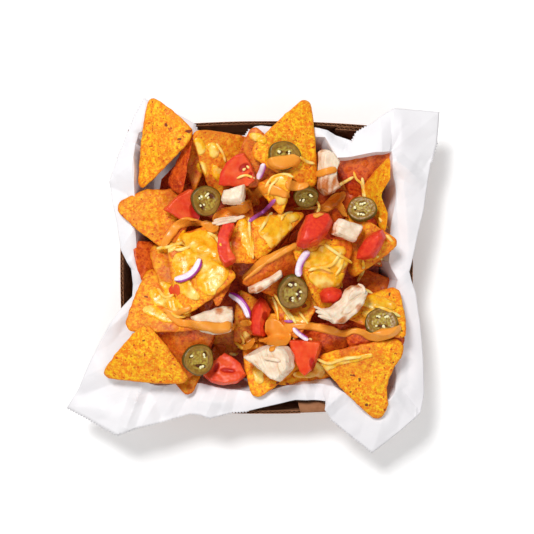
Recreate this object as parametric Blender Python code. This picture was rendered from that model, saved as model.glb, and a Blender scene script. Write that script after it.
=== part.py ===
"""Loaded nachos in a square tray of corrugated board, lined with greaseproof paper.

The origin is the middle of the tray's underside, +Z is up and +Y is the tray's back wall.
Lengths in the tables below are millimetres, seen from above, and become metres in the meshes.
The tray and its paper come first, then the heap of chips that the rest lies on, then every
chip and topping in the order they are dropped on, each one coming to rest on what is below.
"""

import math

import bmesh
import bpy
import numpy as np
from mathutils import Matrix, Vector

MM = 0.001

# Tray: corrugated board, open at the top. Its walls bow out between the corners, and the
# front one is rolled over into a double wall with a notch in its top.
TRAY_SIDE = 0.203
TRAY_BOW = 0.0055
TRAY_CORNER = TRAY_SIDE / 2 - TRAY_BOW
TRAY_LEAN = 0.0015
WALL_HEIGHT = 0.040
WALL_STEPS = 8
BOARD = 0.002
ROLL_THICKNESS = 0.0075
NOTCH = (-0.20, 0.13)
NOTCH_DEPTH = 0.018
WALL_END = 0.98
TAB_START = 0.52

# Paper: one square sheet pushed into the tray, its corners spread over the rim.
PAPER = 0.0008
PAPER_FLOOR = 0.0032
MOUTH_LEFT, MOUTH_RIGHT, MOUTH_FRONT, MOUTH_BACK = 0.0905, 0.0875, 0.0820, 0.0900
MOUTH_HEIGHT = 0.0445
MOUTH_DIP = 0.003
FOOT_SCALE = 0.97
RIM_CLEARANCE = 0.0034
OVER_RIM = 98

# Chips: pressed and fried triangles.
CHIP_THICKNESS = 0.0018
CORNER_ROUND = 0.18
SIDE_BULGE = 0.03

# Heap under the chips that show.
BED_HALF = 0.076
BED_CELLS = 12
BED_HEIGHT = 0.015
BED_UNEVEN = 0.0035
BED_BROAD_WAVE, BED_FINE_WAVE = 100, 190
BED_FALL = 0.45
BED_TAPER = 0.97

# Resting: a grid of heights over the tray, and the room left between touching pieces.
CELL = 0.001
GRID_HALF = 0.160
GAP = 0.0005
STEEPEST = 0.42
SLOPE_STEPS = 15
NOWHERE = -1.0

# The paper's free edge, counter-clockwise from the right: x, y and height.
PAPER_EDGE = (
    (98, -3, 42), (102, 12, 43), (106, 30, 43), (110, 50, 42), (113, 70, 41),
    (118, 90, 40), (120, 108, 38), (101, 109, 41), (84, 107, 43), (74, 100, 44),
    (60, 89, 45), (44, 93, 43), (30, 96, 42), (8, 96, 42), (-5, 97, 43),
    (-15, 91.5, 38), (-30, 91, 36), (-44, 91.5, 38), (-52, 100, 44), (-69, 109, 43),
    (-83, 116, 41), (-93, 100, 43), (-101, 79, 43), (-108, 60, 42), (-105, 40, 42),
    (-101, 20, 43), (-96, 3, 42), (-93, -10, 40), (-94, -22, 42), (-108, -39, 43),
    (-119, -58, 41), (-128, -79, 38), (-139, -97, 33), (-121, -107, 38), (-104, -116, 38),
    (-88, -110, 40), (-70, -105, 42), (-53, -101, 43), (-33, -102, 43), (-10, -99, 43),
    (10, -94.5, 43), (30, -92, 42), (41, -99, 43), (57, -115, 39), (74, -129, 33),
    (89, -117, 40), (107, -100, 42), (109, -80, 43), (107, -50, 43), (103, -18, 43),
)

# Chips from the lowest to the highest: name, three tips, their relative heights or None
# where the chip simply lies on what is below, and how far its middle bends up.
CHIPS = (
    ("chip_left_dark", (-90, 17), (-81, -15), (-44, 12), (22, 22, 0), 2),
    ("chip_front_left_low", (-53, -87), (-36, -42), (-80, -54), None, 2),
    ("chip_front_left_dark", (-84, -35), (-36, -42), (-56, -77), (10, 12, 0), 3),
    ("chip_left_lower", (-94, -41), (-79, -1), (-46, -40), None, 3),
    ("chip_left_middle", (-79, 14), (-30, 18), (-61, -32), None, 2),
    ("chip_corner_front_left", (-111, -74), (-81, -39), (-54, -77), None, 3),
    ("chip_back_right_dark", (87, 80), (46, 76), (66, 42), (16, 14, 0), 2),
    ("chip_left_pointing", (-102, 42), (-49, 66), (-62, 10), None, 3),
    ("chip_back_left_steep", (-50, 91), (-68, 60), (-58, 51), (14, 0, 6), 2),
    ("chip_back_cheesy", (-49, 91), (-8, 86), (-34, 46), None, 3),
    ("chip_corner_back_left", (-80, 115), (-87, 55), (-50, 90), None, 3),
    ("chip_back_lobe", (-8, 95), (-26, 57), (20, 58), (8, 0, 0), 3),
    ("chip_back_pointing", (28, 115), (33, 56), (-10, 77), None, 3),
    ("chip_right_steep", (83, 73), (67, 54), (80, 24), (22, 0, 18), 2),
    ("chip_front_lower", (7, -80), (50, -73), (24, -40), None, 3),
    ("chip_front_pointing", (-16, -46), (-8, -89), (28, -62), None, 4),
    ("chip_front_dark", (16, -40), (62, -41), (38, -72), (12, 16, 0), 2),
    ("chip_front_right_dark", (54, -43), (93, -47), (72, -84), (14, 14, 0), 2),
    ("chip_right_small", (67, -4), (79, -10), (66, -38), (12, 8, 0), 2),
    ("chip_right_tip", (88, 17), (55, 36), (58, -6), None, 3),
    ("chip_right_lower", (88, -14), (92, -47), (48, -30), None, 2),
    ("chip_corner_front_right", (77, -104), (91, -50), (36, -62), None, 3),
    ("chip_middle_front", (0, -18), (38, -16), (20, -48), None, 2),
    ("chip_middle_left_front", (-19, -16), (4, -33), (-22, -54), (8, 4, 0), 2),
    ("chip_curled_end", (-33, -26), (-41, -6), (-23, -7), (10, 0, 0), 4),
    ("chip_left_upper", (-58, 21), (-24, 29), (-27, -13), None, 2),
    ("chip_middle_left", (-28, 7), (-5, 5), (-12, 47), None, 2),
    ("chip_left_cheesy", (-66, 16), (-56, -31), (-21, -5), None, 3),
    ("chip_middle_standing", (-16, -9), (21, 17), (14, -20), (18, 18, 0), 2),
    ("chip_middle_cheesy", (-12, 31), (26, 37), (-5, 5), None, 3),
    ("chip_right_cheesy", (58, 16), (18, 14), (40, -32), None, 3),
    ("chip_back_middle", (-6, 56), (17, 63), (10, 36), None, 3),
)

# Tomato: name, outline, height, and whether the skin lies up.
TOMATOES = (
    ("tomato_quarter_back", ((-32, 57), (-30.5, 66), (-26, 73), (-20, 77.5), (-14, 78.5),
                             (-9, 70), (-7, 60), (-12, 56.5), (-22, 56)), 9, False),
    ("tomato_wedge_left", ((-72, 40), (-63, 49), (-54, 54), (-47, 51), (-45, 41),
                           (-49, 32), (-60, 33)), 10, False),
    ("tomato_crescent_middle", ((-29, 27), (-32.5, 19), (-33, 10), (-31.5, 3), (-28, -3),
                                (-20, 1), (-24, 9), (-25, 17), (-21, 27)), 11, False),
    ("tomato_skin_middle", ((26, 34), (34, 36), (41, 35), (44, 29), (40, 21), (33, 13),
                            (24, 10), (18, 12), (20, 21)), 12, True),
    ("tomato_skin_right", ((61, 6), (62, 12), (66, 18.5), (72, 24), (79, 27), (82, 21),
                           (78, 13), (74, 7), (67, 5)), 11, True),
    ("tomato_under_chicken", ((34, -17), (37, -13), (43, -12), (50, -14.5), (51, -19),
                              (46, -24), (36, -23)), 9, True),
    ("tomato_crescent_front", ((-3, -19), (-8, -24), (-11, -32), (-11, -41), (-9, -46),
                               (0, -47), (1, -36), (4, -28), (1, -22)), 12, True),
    ("tomato_half_front", ((-44, -76), (-38, -81), (-29, -83), (-20, -81.5), (-14, -76),
                           (-18, -68), (-24, -63.5), (-29, -60.5), (-34, -65), (-40, -70)), 9, False),
    ("tomato_wedge_front", ((17, -49), (28, -48.5), (40, -50), (38, -58), (34, -68),
                            (29, -73), (25, -70), (21, -60)), 11, False),
)
# How far each level is drawn in, in millimetres, and its share of the height.
TOMATO_SKIN_LEVELS = ((2.0, 0), (0, 0.3), (1.2, 0.75), (3.6, 1))
TOMATO_CUT_LEVELS = ((1.5, 0), (0, 0.35), (0.2, 1))
CHICKEN_LEVELS = ((1.6, 0), (0, 0.3), (0.5, 0.75), (2.2, 1))

# Chicken: name, outline and height.
CHICKENS = (
    ("chicken_cube_back", ((-28, 50), (-21, 52), (-13, 54), (-13, 47), (-15, 41),
                           (-22, 40), (-29, 42)), 10),
    ("chicken_strip_back", ((34, 79), (39, 81), (44, 79), (48, 72), (46, 66), (47, 60),
                            (49, 55), (44, 51), (38, 49), (33, 54), (34, 62), (33, 71)), 12),
    ("chicken_block_right", ((41, 22), (43.5, 29), (47, 33), (55, 30.5), (63, 28), (61, 21),
                             (58, 16.5), (50, 18.5)), 9),
    ("chicken_sliver_middle", ((-14, -12), (-6, -8.5), (2, -4.5), (9, -1), (10, -5),
                               (6, -9), (-1, -13), (-7, -16.5), (-13, -16)), 7),
    ("chicken_curved_right", ((51, -14), (55, -11), (61, -11), (66, -15), (64, -23),
                              (58, -30), (50, -36), (42, -36.5), (34, -32), (33, -27),
                              (41, -25), (48, -21)), 10),
    ("chicken_strip_front", ((-53, -34), (-45, -30.5), (-35, -27.5), (-24, -26), (-23, -35),
                             (-26, -44), (-37, -46.5), (-46, -44), (-50, -39)), 9),
    ("chicken_lump_front", ((-13, -59.5), (-5, -55.5), (2, -52), (10, -50.5), (17, -53),
                            (21, -59), (21, -66), (17, -72), (12, -76), (6, -74.5),
                            (0, -69.5), (-6, -65)), 16),
)

# Pickled pepper rings: name, middle, half-widths along x and y.
PEPPERS = (
    ("pepper_ring_left", (-42, 45.5), (10.2, 10.5)),
    ("pepper_ring_back", (11, 75.5), (11, 10)),
    ("pepper_ring_right", (65, 38.5), (10, 8.8)),
    ("pepper_ring_middle", (17, -15.5), (10.3, 12)),
    ("pepper_ring_front_right", (77, -37.5), (11, 10)),
    ("pepper_ring_front_left", (-47, -62), (10.6, 10.8)),
    ("pepper_ring_dark", (27, 49), (8.5, 7.5)),
)
PEPPER_THICKNESS = 0.0045
PEPPER_SIDES = 14
# Each ring of a slice: its share of the half-widths and of the thickness.
PEPPER_LEVELS = ((0.95, 0), (1, 0.5), (0.97, 1), (0.8, 0.82))

# Onion strips, each a stretch of a ring: name, ring middle, radius, start and end angle.
ONIONS = (
    ("onion_strip_left", (-60, 7.5), 15.8, -8, -94),
    ("onion_strip_middle", (-32, -38), 20.7, 72, 8),
)
ONION_WIDTH, ONION_HEIGHT, ONION_STEPS = 0.0048, 0.0034, 7
ONION_TAPER = 0.55
# The strip's section: shares of its half-width and of its height.
ONION_SECTION = (
    (-1, 0.15), (-0.6, 0), (0.6, 0), (1, 0.15), (1, 0.8), (0.6, 1), (-0.6, 1), (-1, 0.8),
)


def clear_scene():
    for obj in list(bpy.data.objects):
        bpy.data.objects.remove(obj)


def material(name, colour, roughness):
    made = bpy.data.materials.new(name)
    made.use_nodes = True
    shader = made.node_tree.nodes["Principled BSDF"]
    shader.inputs["Base Color"].default_value = (*colour, 1)
    shader.inputs["Roughness"].default_value = roughness
    return made


def add_object(name, mesh, look):
    mesh.materials.append(look)
    obj = bpy.data.objects.new(name, mesh)
    bpy.context.scene.collection.objects.link(obj)
    return obj


def mesh_of(name, points, faces, smooth=True):
    """A closed mesh with its faces turned outwards."""
    made = bmesh.new()
    verts = [made.verts.new(point) for point in points]
    for face in faces:
        made.faces.new([verts[i] for i in face])
    bmesh.ops.recalc_face_normals(made, faces=made.faces)
    mesh = bpy.data.meshes.new(name)
    made.to_mesh(mesh)
    made.free()
    if smooth:
        mesh.shade_smooth()
        mesh.set_sharp_from_angle(angle=math.radians(50))
    return mesh


def lofted(name, rings):
    """A closed mesh through rings of equally many points, capped at both ends."""
    count = len(rings[0])
    points = [point for ring in rings for point in ring]
    faces = [tuple(range(count)), tuple(range((len(rings) - 1) * count, len(rings) * count))]
    for level in range(len(rings) - 1):
        for i in range(count):
            j = (i + 1) % count
            low, high = level * count, (level + 1) * count
            faces.append((low + i, low + j, high + j, high + i))
    return mesh_of(name, points, faces)


# --- resting ---------------------------------------------------------------------------

CELLS = round(2 * GRID_HALF / CELL)
CENTRES = (np.arange(CELLS) + 0.5) * CELL - GRID_HALF
heights = np.full((CELLS, CELLS), NOWHERE)


def columns(mesh):
    """The lowest and the highest point of a mesh over every cell, with inf where it is not."""
    mesh.calc_loop_triangles()
    points = np.array([vertex.co for vertex in mesh.vertices])
    low = np.full((CELLS, CELLS), np.inf)
    high = np.full((CELLS, CELLS), -np.inf)
    for triangle in mesh.loop_triangles:
        a, b, c = points[list(triangle.vertices)]
        area = (b[0] - a[0]) * (c[1] - a[1]) - (c[0] - a[0]) * (b[1] - a[1])
        if abs(area) < 1e-12:
            continue
        corners = np.array((a, b, c))[:, :2]
        first = np.floor((corners.min(axis=0) + GRID_HALF) / CELL - 0.5).astype(int)
        last = np.ceil((corners.max(axis=0) + GRID_HALF) / CELL + 0.5).astype(int)
        xs = slice(max(first[0], 0), last[0])
        ys = slice(max(first[1], 0), last[1])
        x, y = np.meshgrid(CENTRES[xs], CENTRES[ys], indexing="ij")
        u = ((x - a[0]) * (c[1] - a[1]) - (c[0] - a[0]) * (y - a[1])) / area
        v = ((b[0] - a[0]) * (y - a[1]) - (x - a[0]) * (b[1] - a[1])) / area
        inside = (u >= 0) & (v >= 0) & (u + v <= 1)
        z = a[2] + u * (b[2] - a[2]) + v * (c[2] - a[2])
        low[xs, ys] = np.where(inside, np.minimum(low[xs, ys], z), low[xs, ys])
        high[xs, ys] = np.where(inside, np.maximum(high[xs, ys], z), high[xs, ys])
    return low, high


def widened(field):
    """Each cell takes the highest value of its neighbours, so that edges keep clear."""
    wide = field.copy()
    for along, across in ((1, 0), (-1, 0), (0, 1), (0, -1), (1, 1), (-1, -1), (1, -1), (-1, 1)):
        wide = np.maximum(wide, np.roll(field, (along, across), axis=(0, 1)))
    return wide


def best_slope(mesh):
    """The tilt, as rise along x and along y, at which a piece lies lowest on what is below."""
    low, _ = columns(mesh)
    covered = np.isfinite(low)
    x, y = np.meshgrid(CENTRES, CENTRES, indexing="ij")
    x, y = x[covered], y[covered]
    needed = widened(heights)[covered] - low[covered]
    steps = np.linspace(-STEEPEST, STEEPEST, SLOPE_STEPS)
    tilts = np.array([(u, v) for u in steps for v in steps if math.hypot(u, v) <= STEEPEST])
    lifts = needed[None, :] - tilts[:, :1] * (x - x.mean()) - tilts[:, 1:] * (y - y.mean())
    return tilts[lifts.max(axis=1).argmin()], (x.mean(), y.mean())


def drop(mesh):
    """Moves a mesh straight down or up until it rests, and adds it to the heights."""
    low, high = columns(mesh)
    covered = np.isfinite(low)
    lift = (widened(heights)[covered] - low[covered]).max() + GAP
    mesh.transform(Matrix.Translation((0, 0, lift)))
    heights[covered] = np.maximum(heights[covered], high[covered] + lift)


def lay_rigid(mesh):
    """Turns a topping to the slope that it finds, then drops it."""
    slope, middle = best_slope(mesh)
    normal = Vector((-slope[0], -slope[1], 1)).normalized()
    turn = Vector((0, 0, 1)).rotation_difference(normal).to_matrix().to_4x4()
    pivot = Matrix.Translation((*middle, 0))
    mesh.transform(pivot @ turn @ pivot.inverted())
    drop(mesh)


# --- tray ------------------------------------------------------------------------------

def wall_line(quarter, inset, z, start=-1.0, stop=1.0):
    """Points along one wall at an inset from its outer face; the ends are in half-walls."""
    half = TRAY_CORNER - inset - TRAY_LEAN * (1 - z / WALL_HEIGHT)
    turn = Matrix.Rotation(math.radians(90 * quarter), 3, "Z")
    line = []
    for step in range(WALL_STEPS + 1):
        t = start + (stop - start) * step / WALL_STEPS
        line.append(turn @ Vector((t * half, -half - TRAY_BOW * (1 - t * t), z)))
    return line


def tray_ring(inset, z):
    return [point for quarter in range(4) for point in wall_line(quarter, inset, z)[:-1]]


def wall_block(name, quarter, ends, insets, levels, look):
    """A stretch of board along one wall, between two insets and two heights."""
    rings = []
    for z in levels:
        inner = wall_line(quarter, insets[1], z, *ends)
        rings.append(wall_line(quarter, insets[0], z, *ends) + inner[::-1])
    return add_object(name, lofted(name, rings), look)


def combine(obj, other, operation):
    other.hide_render = True
    other.display_type = "WIRE"
    step = obj.modifiers.new(operation.title(), "BOOLEAN")
    step.operation = operation
    step.object = other


def tray(look):
    """Floor and four walls of board, two folded tabs inside the back, a rolled front wall."""
    top = WALL_HEIGHT
    obj = add_object("tray", lofted("tray", [tray_ring(0, 0), tray_ring(0, top)]), look)
    hollow = lofted("tray_hollow", [
        tray_ring(BOARD, BOARD), tray_ring(BOARD, top), tray_ring(BOARD, top + BOARD),
    ])
    combine(obj, add_object("tray_hollow", hollow, look), "DIFFERENCE")
    middle_of_board = (BOARD / 2, top)
    roll = wall_block(
        "front_roll", 0, (-WALL_END, WALL_END), (BOARD / 2, ROLL_THICKNESS), middle_of_board, look)
    combine(obj, roll, "UNION")
    notch = wall_block(
        "front_notch", 0, NOTCH, (BOARD, ROLL_THICKNESS + BOARD),
        (top - NOTCH_DEPTH, top + BOARD), look)
    combine(obj, notch, "DIFFERENCE")
    for side in (-1, 1):
        ends = sorted((side * TAB_START, side * WALL_END))
        tab = wall_block(
            f"back_tab_{side}", 2, ends, (BOARD / 2, 2 * BOARD), (BOARD / 2, top - BOARD / 2), look)
        combine(obj, tab, "UNION")
    return obj


# --- paper -----------------------------------------------------------------------------

def mouth_point(angle, scale):
    """Where the paper leaves the food, on a rectangle a little inside the tray."""
    x, y = math.cos(angle), math.sin(angle)
    along_x = (MOUTH_RIGHT if x > 0 else MOUTH_LEFT) / max(abs(x), 1e-9)
    along_y = (MOUTH_BACK if y > 0 else MOUTH_FRONT) / max(abs(y), 1e-9)
    reach = min(along_x, along_y) * scale
    return Vector((x * reach, y * reach, 0))


def over_rim(inner, edge):
    """The point of the paper above the tray's rim, or half way where the edge stays inside."""
    inside = max(abs(inner.x), abs(inner.y))
    outside = max(abs(edge.x), abs(edge.y))
    rim = TRAY_SIDE / 2
    share = (rim - inside) / (outside - inside) if outside > rim else 0.5
    point = inner.lerp(edge, share)
    if outside > rim:
        point.z = max(point.z, WALL_HEIGHT + RIM_CLEARANCE)
    return point


def paper_liner(look):
    """One sheet: flat on the floor, up to the mouth, over the rim and out to its edge."""
    rings = [[], [], [], []]
    for x, y, z in PAPER_EDGE:
        edge = Vector((x, y, z)) * MM
        angle = math.atan2(edge.y, edge.x)
        foot = mouth_point(angle, FOOT_SCALE)
        foot.z = PAPER_FLOOR
        mouth = mouth_point(angle, 1.0)
        over = max(abs(x), abs(y)) > OVER_RIM
        mouth.z = MOUTH_HEIGHT if over else z * MM - MOUTH_DIP
        rings[0].append(foot)
        rings[1].append(mouth)
        rings[2].append(over_rim(mouth, edge))
        rings[3].append(edge)
    count = len(PAPER_EDGE)
    points = [point for ring in rings for point in ring]
    faces = [tuple(range(count))]
    for level in range(3):
        for i in range(count):
            j = (i + 1) % count
            faces.append(tuple(k * count + n for k, n in (
                (level, i), (level, j), (level + 1, j), (level + 1, i))))
    sheet = mesh_of("paper_liner", points, faces, smooth=False)
    obj = add_object("paper_liner", sheet, look)
    solid = obj.modifiers.new("Thickness", "SOLIDIFY")
    solid.thickness = PAPER
    solid.offset = 0
    return obj


# --- food ------------------------------------------------------------------------------

def chip_bed(look):
    """The lower chips as one heap, out to its uneven top."""
    ticks = np.linspace(-BED_HALF, BED_HALF, BED_CELLS + 1)
    floor = PAPER_FLOOR + PAPER + GAP
    points, faces = [], []
    for x in ticks:
        for y in ticks:
            outward = max(abs(x), abs(y)) / BED_HALF
            broad = math.sin(x * BED_BROAD_WAVE + 1) * math.cos(y * BED_BROAD_WAVE)
            uneven = broad + 0.6 * math.sin((x - y) * BED_FINE_WAVE)
            height = BED_HEIGHT * (1 - BED_FALL * outward ** 6) + BED_UNEVEN * uneven
            points.append((x, y, floor + height))
    side = BED_CELLS + 1
    for i in range(BED_CELLS):
        for j in range(BED_CELLS):
            here, there = i * side + j, (i + 1) * side + j
            faces.append((here, there, there + 1, here + 1))
    border = [i * side for i in range(side)]
    border += [BED_CELLS * side + j for j in range(1, side)]
    border += [i * side + BED_CELLS for i in range(BED_CELLS - 1, -1, -1)]
    border += [j for j in range(BED_CELLS - 1, 0, -1)]
    start = len(points)
    points += [(points[i][0] * BED_TAPER, points[i][1] * BED_TAPER, floor) for i in border]
    for n, upper in enumerate(border):
        m = (n + 1) % len(border)
        faces.append((upper, border[m], start + m, start + n))
    faces.append(tuple(range(start, start + len(border))))
    return add_object("chip_bed", mesh_of("chip_bed", points, faces), look)


def chip_outline():
    """Round-cornered triangle whose three tips are one unit from its middle."""
    outline = []
    for corner in range(3):
        heading = math.radians(90 + 120 * corner)
        centre = (1 - CORNER_ROUND) * np.array((math.cos(heading), math.sin(heading)))
        for turn in (-60, -20, 20, 60):
            angle = heading + math.radians(turn)
            outline.append(centre + CORNER_ROUND * np.array((math.cos(angle), math.sin(angle))))
        middle = heading + math.radians(60)
        reach = (1 + CORNER_ROUND) / 2 + SIDE_BULGE
        outline.append(reach * np.array((math.cos(middle), math.sin(middle))))
    return np.array(outline)


def chip_mesh(name, tips, rises, bend):
    """A chip between three tips seen from above, on the slope that its rises give it."""
    headings = [math.radians(90 + 120 * corner) for corner in range(3)]
    units = np.array([(1, math.cos(h), math.sin(h)) for h in headings])
    corners = np.column_stack((np.array(tips, float), rises)) * MM
    spread = np.linalg.solve(units, corners)
    rings = []
    outline = chip_outline()
    for side, scales in ((-0.5, (0.5, 1)), (0.5, (1, 0.5))):
        for scale in scales:
            flat = outline * scale
            ring = np.column_stack((np.ones(len(flat)), flat)) @ spread
            ring[:, 2] += bend * MM * (1 - (flat ** 2).sum(axis=1)) + side * CHIP_THICKNESS
            rings.append([tuple(point) for point in ring])
    return lofted(name, rings)


def chip(name, tips, rises, bend, look):
    if rises is None:
        slope, _ = best_slope(chip_mesh(name, tips, (0, 0, 0), bend))
        rises = [slope[0] * x + slope[1] * y for x, y in tips]
    mesh = chip_mesh(name, tips, rises, bend)
    drop(mesh)
    return add_object(name, mesh, look)


def inset(outline, depth):
    """The outline moved inwards, each point along the normal between its two sides."""
    before = outline - np.roll(outline, 1, axis=0)
    after = np.roll(outline, -1, axis=0) - outline
    along = before / np.linalg.norm(before, axis=1)[:, None]
    along = along + after / np.linalg.norm(after, axis=1)[:, None]
    inward = np.column_stack((-along[:, 1], along[:, 0]))
    inward /= np.linalg.norm(inward, axis=1)[:, None]
    area = np.cross(outline, np.roll(outline, -1, axis=0)).sum()
    return outline + math.copysign(depth, area) * inward


def chunk(name, outline, height, levels, look):
    """A cut piece of food: its outline drawn in or out at each level from bottom to top."""
    flat = np.array(outline, float) * MM
    rings = []
    for depth, share in levels:
        ring = inset(flat, depth * MM)
        rings.append([(x, y, share * height * MM) for x, y in ring])
    mesh = lofted(name, rings)
    lay_rigid(mesh)
    return add_object(name, mesh, look)


def pepper_ring(name, middle, half_widths, look):
    """A slice of pickled pepper, a little dished between its skin and its seeds."""
    rings = []
    for scale, level in PEPPER_LEVELS:
        ring = []
        for step in range(PEPPER_SIDES):
            angle = 2 * math.pi * step / PEPPER_SIDES
            ring.append((
                (middle[0] + half_widths[0] * scale * math.cos(angle)) * MM,
                (middle[1] + half_widths[1] * scale * math.sin(angle)) * MM,
                level * PEPPER_THICKNESS,
            ))
        rings.append(ring)
    mesh = lofted(name, rings)
    lay_rigid(mesh)
    return add_object(name, mesh, look)


def onion_strip(name, middle, radius, start, end, look):
    """A stretch of an onion ring, curved like the ring that it was cut from."""
    rings = []
    for step in range(ONION_STEPS + 1):
        angle = math.radians(start + (end - start) * step / ONION_STEPS)
        taper = ONION_TAPER if step in (0, ONION_STEPS) else 1
        ring = []
        for across, up in ONION_SECTION:
            reach = radius * MM + across * taper * ONION_WIDTH / 2
            ring.append((
                middle[0] * MM + reach * math.cos(angle),
                middle[1] * MM + reach * math.sin(angle),
                up * ONION_HEIGHT,
            ))
        rings.append(ring)
    mesh = lofted(name, rings)
    lay_rigid(mesh)
    return add_object(name, mesh, look)


def add_heights(obj):
    """Counts a piece that stays where it was made among what the food rests on."""
    graph = bpy.context.evaluated_depsgraph_get()
    _, high = columns(obj.evaluated_get(graph).to_mesh())
    np.maximum(heights, high, out=heights)


def build():
    clear_scene()
    kraft = material("kraft_board", (0.42, 0.25, 0.14), 0.9)
    paper = material("paper", (0.86, 0.85, 0.87), 0.6)
    fried = material("tortilla_chip", (0.85, 0.33, 0.03), 0.7)
    red = material("tomato", (0.75, 0.06, 0.02), 0.25)
    white_meat = material("chicken", (0.85, 0.74, 0.60), 0.5)
    green = material("pickled_pepper", (0.27, 0.20, 0.03), 0.25)
    violet = material("onion", (0.80, 0.62, 0.78), 0.3)

    for obj in (tray(kraft), paper_liner(paper), chip_bed(fried)):
        bpy.context.view_layer.update()
        add_heights(obj)
    for name, first, second, third, rises, bend in CHIPS:
        chip(name, (first, second, third), rises, bend, fried)
    for name, outline, height, skin_up in TOMATOES:
        chunk(name, outline, height, TOMATO_SKIN_LEVELS if skin_up else TOMATO_CUT_LEVELS, red)
    for name, middle, radius, start, end in ONIONS:
        onion_strip(name, middle, radius, start, end, violet)
    for name, outline, height in CHICKENS:
        chunk(name, outline, height, CHICKEN_LEVELS, white_meat)
    for name, middle, half_widths in PEPPERS:
        pepper_ring(name, middle, half_widths, green)


build()
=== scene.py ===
import math
import random

import bpy
import numpy as np
from mathutils import Matrix, Vector, noise
from mathutils.bvhtree import BVHTree


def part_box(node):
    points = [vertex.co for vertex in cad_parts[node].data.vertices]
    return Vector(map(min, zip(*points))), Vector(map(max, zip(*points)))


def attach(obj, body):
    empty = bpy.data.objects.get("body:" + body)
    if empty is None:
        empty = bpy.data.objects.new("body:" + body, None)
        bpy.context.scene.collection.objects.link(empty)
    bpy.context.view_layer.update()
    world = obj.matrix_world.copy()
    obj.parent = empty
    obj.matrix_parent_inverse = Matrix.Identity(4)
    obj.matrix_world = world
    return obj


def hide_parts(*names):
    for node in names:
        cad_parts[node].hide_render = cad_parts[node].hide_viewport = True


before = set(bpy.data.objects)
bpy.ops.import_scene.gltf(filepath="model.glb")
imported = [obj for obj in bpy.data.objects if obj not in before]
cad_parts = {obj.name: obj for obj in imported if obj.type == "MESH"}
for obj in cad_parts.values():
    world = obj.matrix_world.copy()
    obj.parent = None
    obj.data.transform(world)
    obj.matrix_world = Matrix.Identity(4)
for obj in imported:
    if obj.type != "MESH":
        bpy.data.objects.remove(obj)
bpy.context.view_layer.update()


# ---------------------------------------------------------------------------------------
# Tray. A square tray of brown corrugated board, die-cut and folded: a floor, four walls that
# bow out a little, two tabs folded inside the back wall and a front wall rolled over double.
# Along every cut edge the wavy middle layer shows between the two flat faces of the board.
# ---------------------------------------------------------------------------------------

MM = 0.001
BOARD = 0.0020
FACE_PAPER = 0.0003
FLUTE_PITCH = 0.0034
FLUTE_PAPER = 0.00025
WALL_LEAN = 0.0015
ROLL_DEPTH = 0.0075

tray_low, tray_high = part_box("tray")
tray_verts = np.array([v.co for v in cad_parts["tray"].data.vertices])
tray_corner = np.abs(tray_verts[:, :2]).min(axis=1).max()
tray_bow = tray_high.x - tray_corner
tray_top = tray_high.z


def shader(name, roughness, **sockets):
    """A new material with its Principled shader's constants set; returns it and its nodes."""
    made = bpy.data.materials.new(name)
    made.use_nodes = True
    nodes = made.node_tree.nodes
    surface = nodes["Principled BSDF"]
    surface.inputs["Roughness"].default_value = roughness
    for key, value in sockets.items():
        surface.inputs[key.replace("_", " ")].default_value = value
    return made, nodes, surface


def place(nodes):
    """Object coordinates, in metres, for the patterns of a material."""
    return nodes.new("ShaderNodeTexCoord").outputs["Object"]


def noise_of(material, vector, scale, detail=3.0, roughness=0.5, stretch=(1, 1, 1)):
    """A noise pattern over the surface, stretched along its axes if asked."""
    nodes, links = material.node_tree.nodes, material.node_tree.links
    spread = nodes.new("ShaderNodeMapping")
    spread.inputs["Scale"].default_value = stretch
    pattern = nodes.new("ShaderNodeTexNoise")
    pattern.inputs["Scale"].default_value = scale
    pattern.inputs["Detail"].default_value = detail
    pattern.inputs["Roughness"].default_value = roughness
    links.new(vector, spread.inputs["Vector"])
    links.new(spread.outputs["Vector"], pattern.inputs["Vector"])
    return pattern.outputs["Fac"]


def ramp(material, factor, *stops):
    """Colours or greys at places between 0 and 1; a plain number stands for a grey."""
    nodes, links = material.node_tree.nodes, material.node_tree.links
    made = nodes.new("ShaderNodeValToRGB")
    bar = made.color_ramp.elements
    while len(bar) < len(stops):
        bar.new(0.5)
    for element, (where, value) in zip(bar, stops):
        element.position = where
        element.color = (value, value, value, 1) if isinstance(value, (int, float)) else (*value, 1)
    links.new(factor, made.inputs["Fac"])
    return made.outputs["Color"]


def mixed(material, factor, first, second, way="MIX"):
    """Two colours mixed by a factor; a colour may be a socket or three numbers."""
    nodes, links = material.node_tree.nodes, material.node_tree.links
    made = nodes.new("ShaderNodeMix")
    made.data_type = "RGBA"
    made.blend_type = way
    for value, socket in ((factor, made.inputs[0]), (first, made.inputs[6]), (second, made.inputs[7])):
        if isinstance(value, bpy.types.NodeSocket):
            links.new(value, socket)
        else:
            socket.default_value = (*value, 1) if isinstance(value, tuple) else value
    return made.outputs[2]


def bumped(material, surface, height, strength, distance):
    nodes, links = material.node_tree.nodes, material.node_tree.links
    made = nodes.new("ShaderNodeBump")
    made.inputs["Strength"].default_value = strength
    made.inputs["Distance"].default_value = distance
    links.new(height, made.inputs["Height"])
    links.new(made.outputs["Normal"], surface.inputs["Normal"])


def painted(material, name):
    """A value that the mesh carries at each of its points."""
    made = material.node_tree.nodes.new("ShaderNodeAttribute")
    made.attribute_name = name
    return made.outputs["Fac"]


def feed(material, surface, **outputs):
    """Joins the outputs of patterns to the shader's inputs of the given names."""
    for key, output in outputs.items():
        material.node_tree.links.new(output, surface.inputs[key.replace("_", " ")])


def srgb(red, green, blue):
    """A colour as a screen shows it, from 0 to 255, turned into the light that a shader needs."""
    return tuple(
        c / 3294.6 if c <= 10 else ((c / 255 + 0.055) / 1.055) ** 2.4 for c in (red, green, blue)
    )


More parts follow.
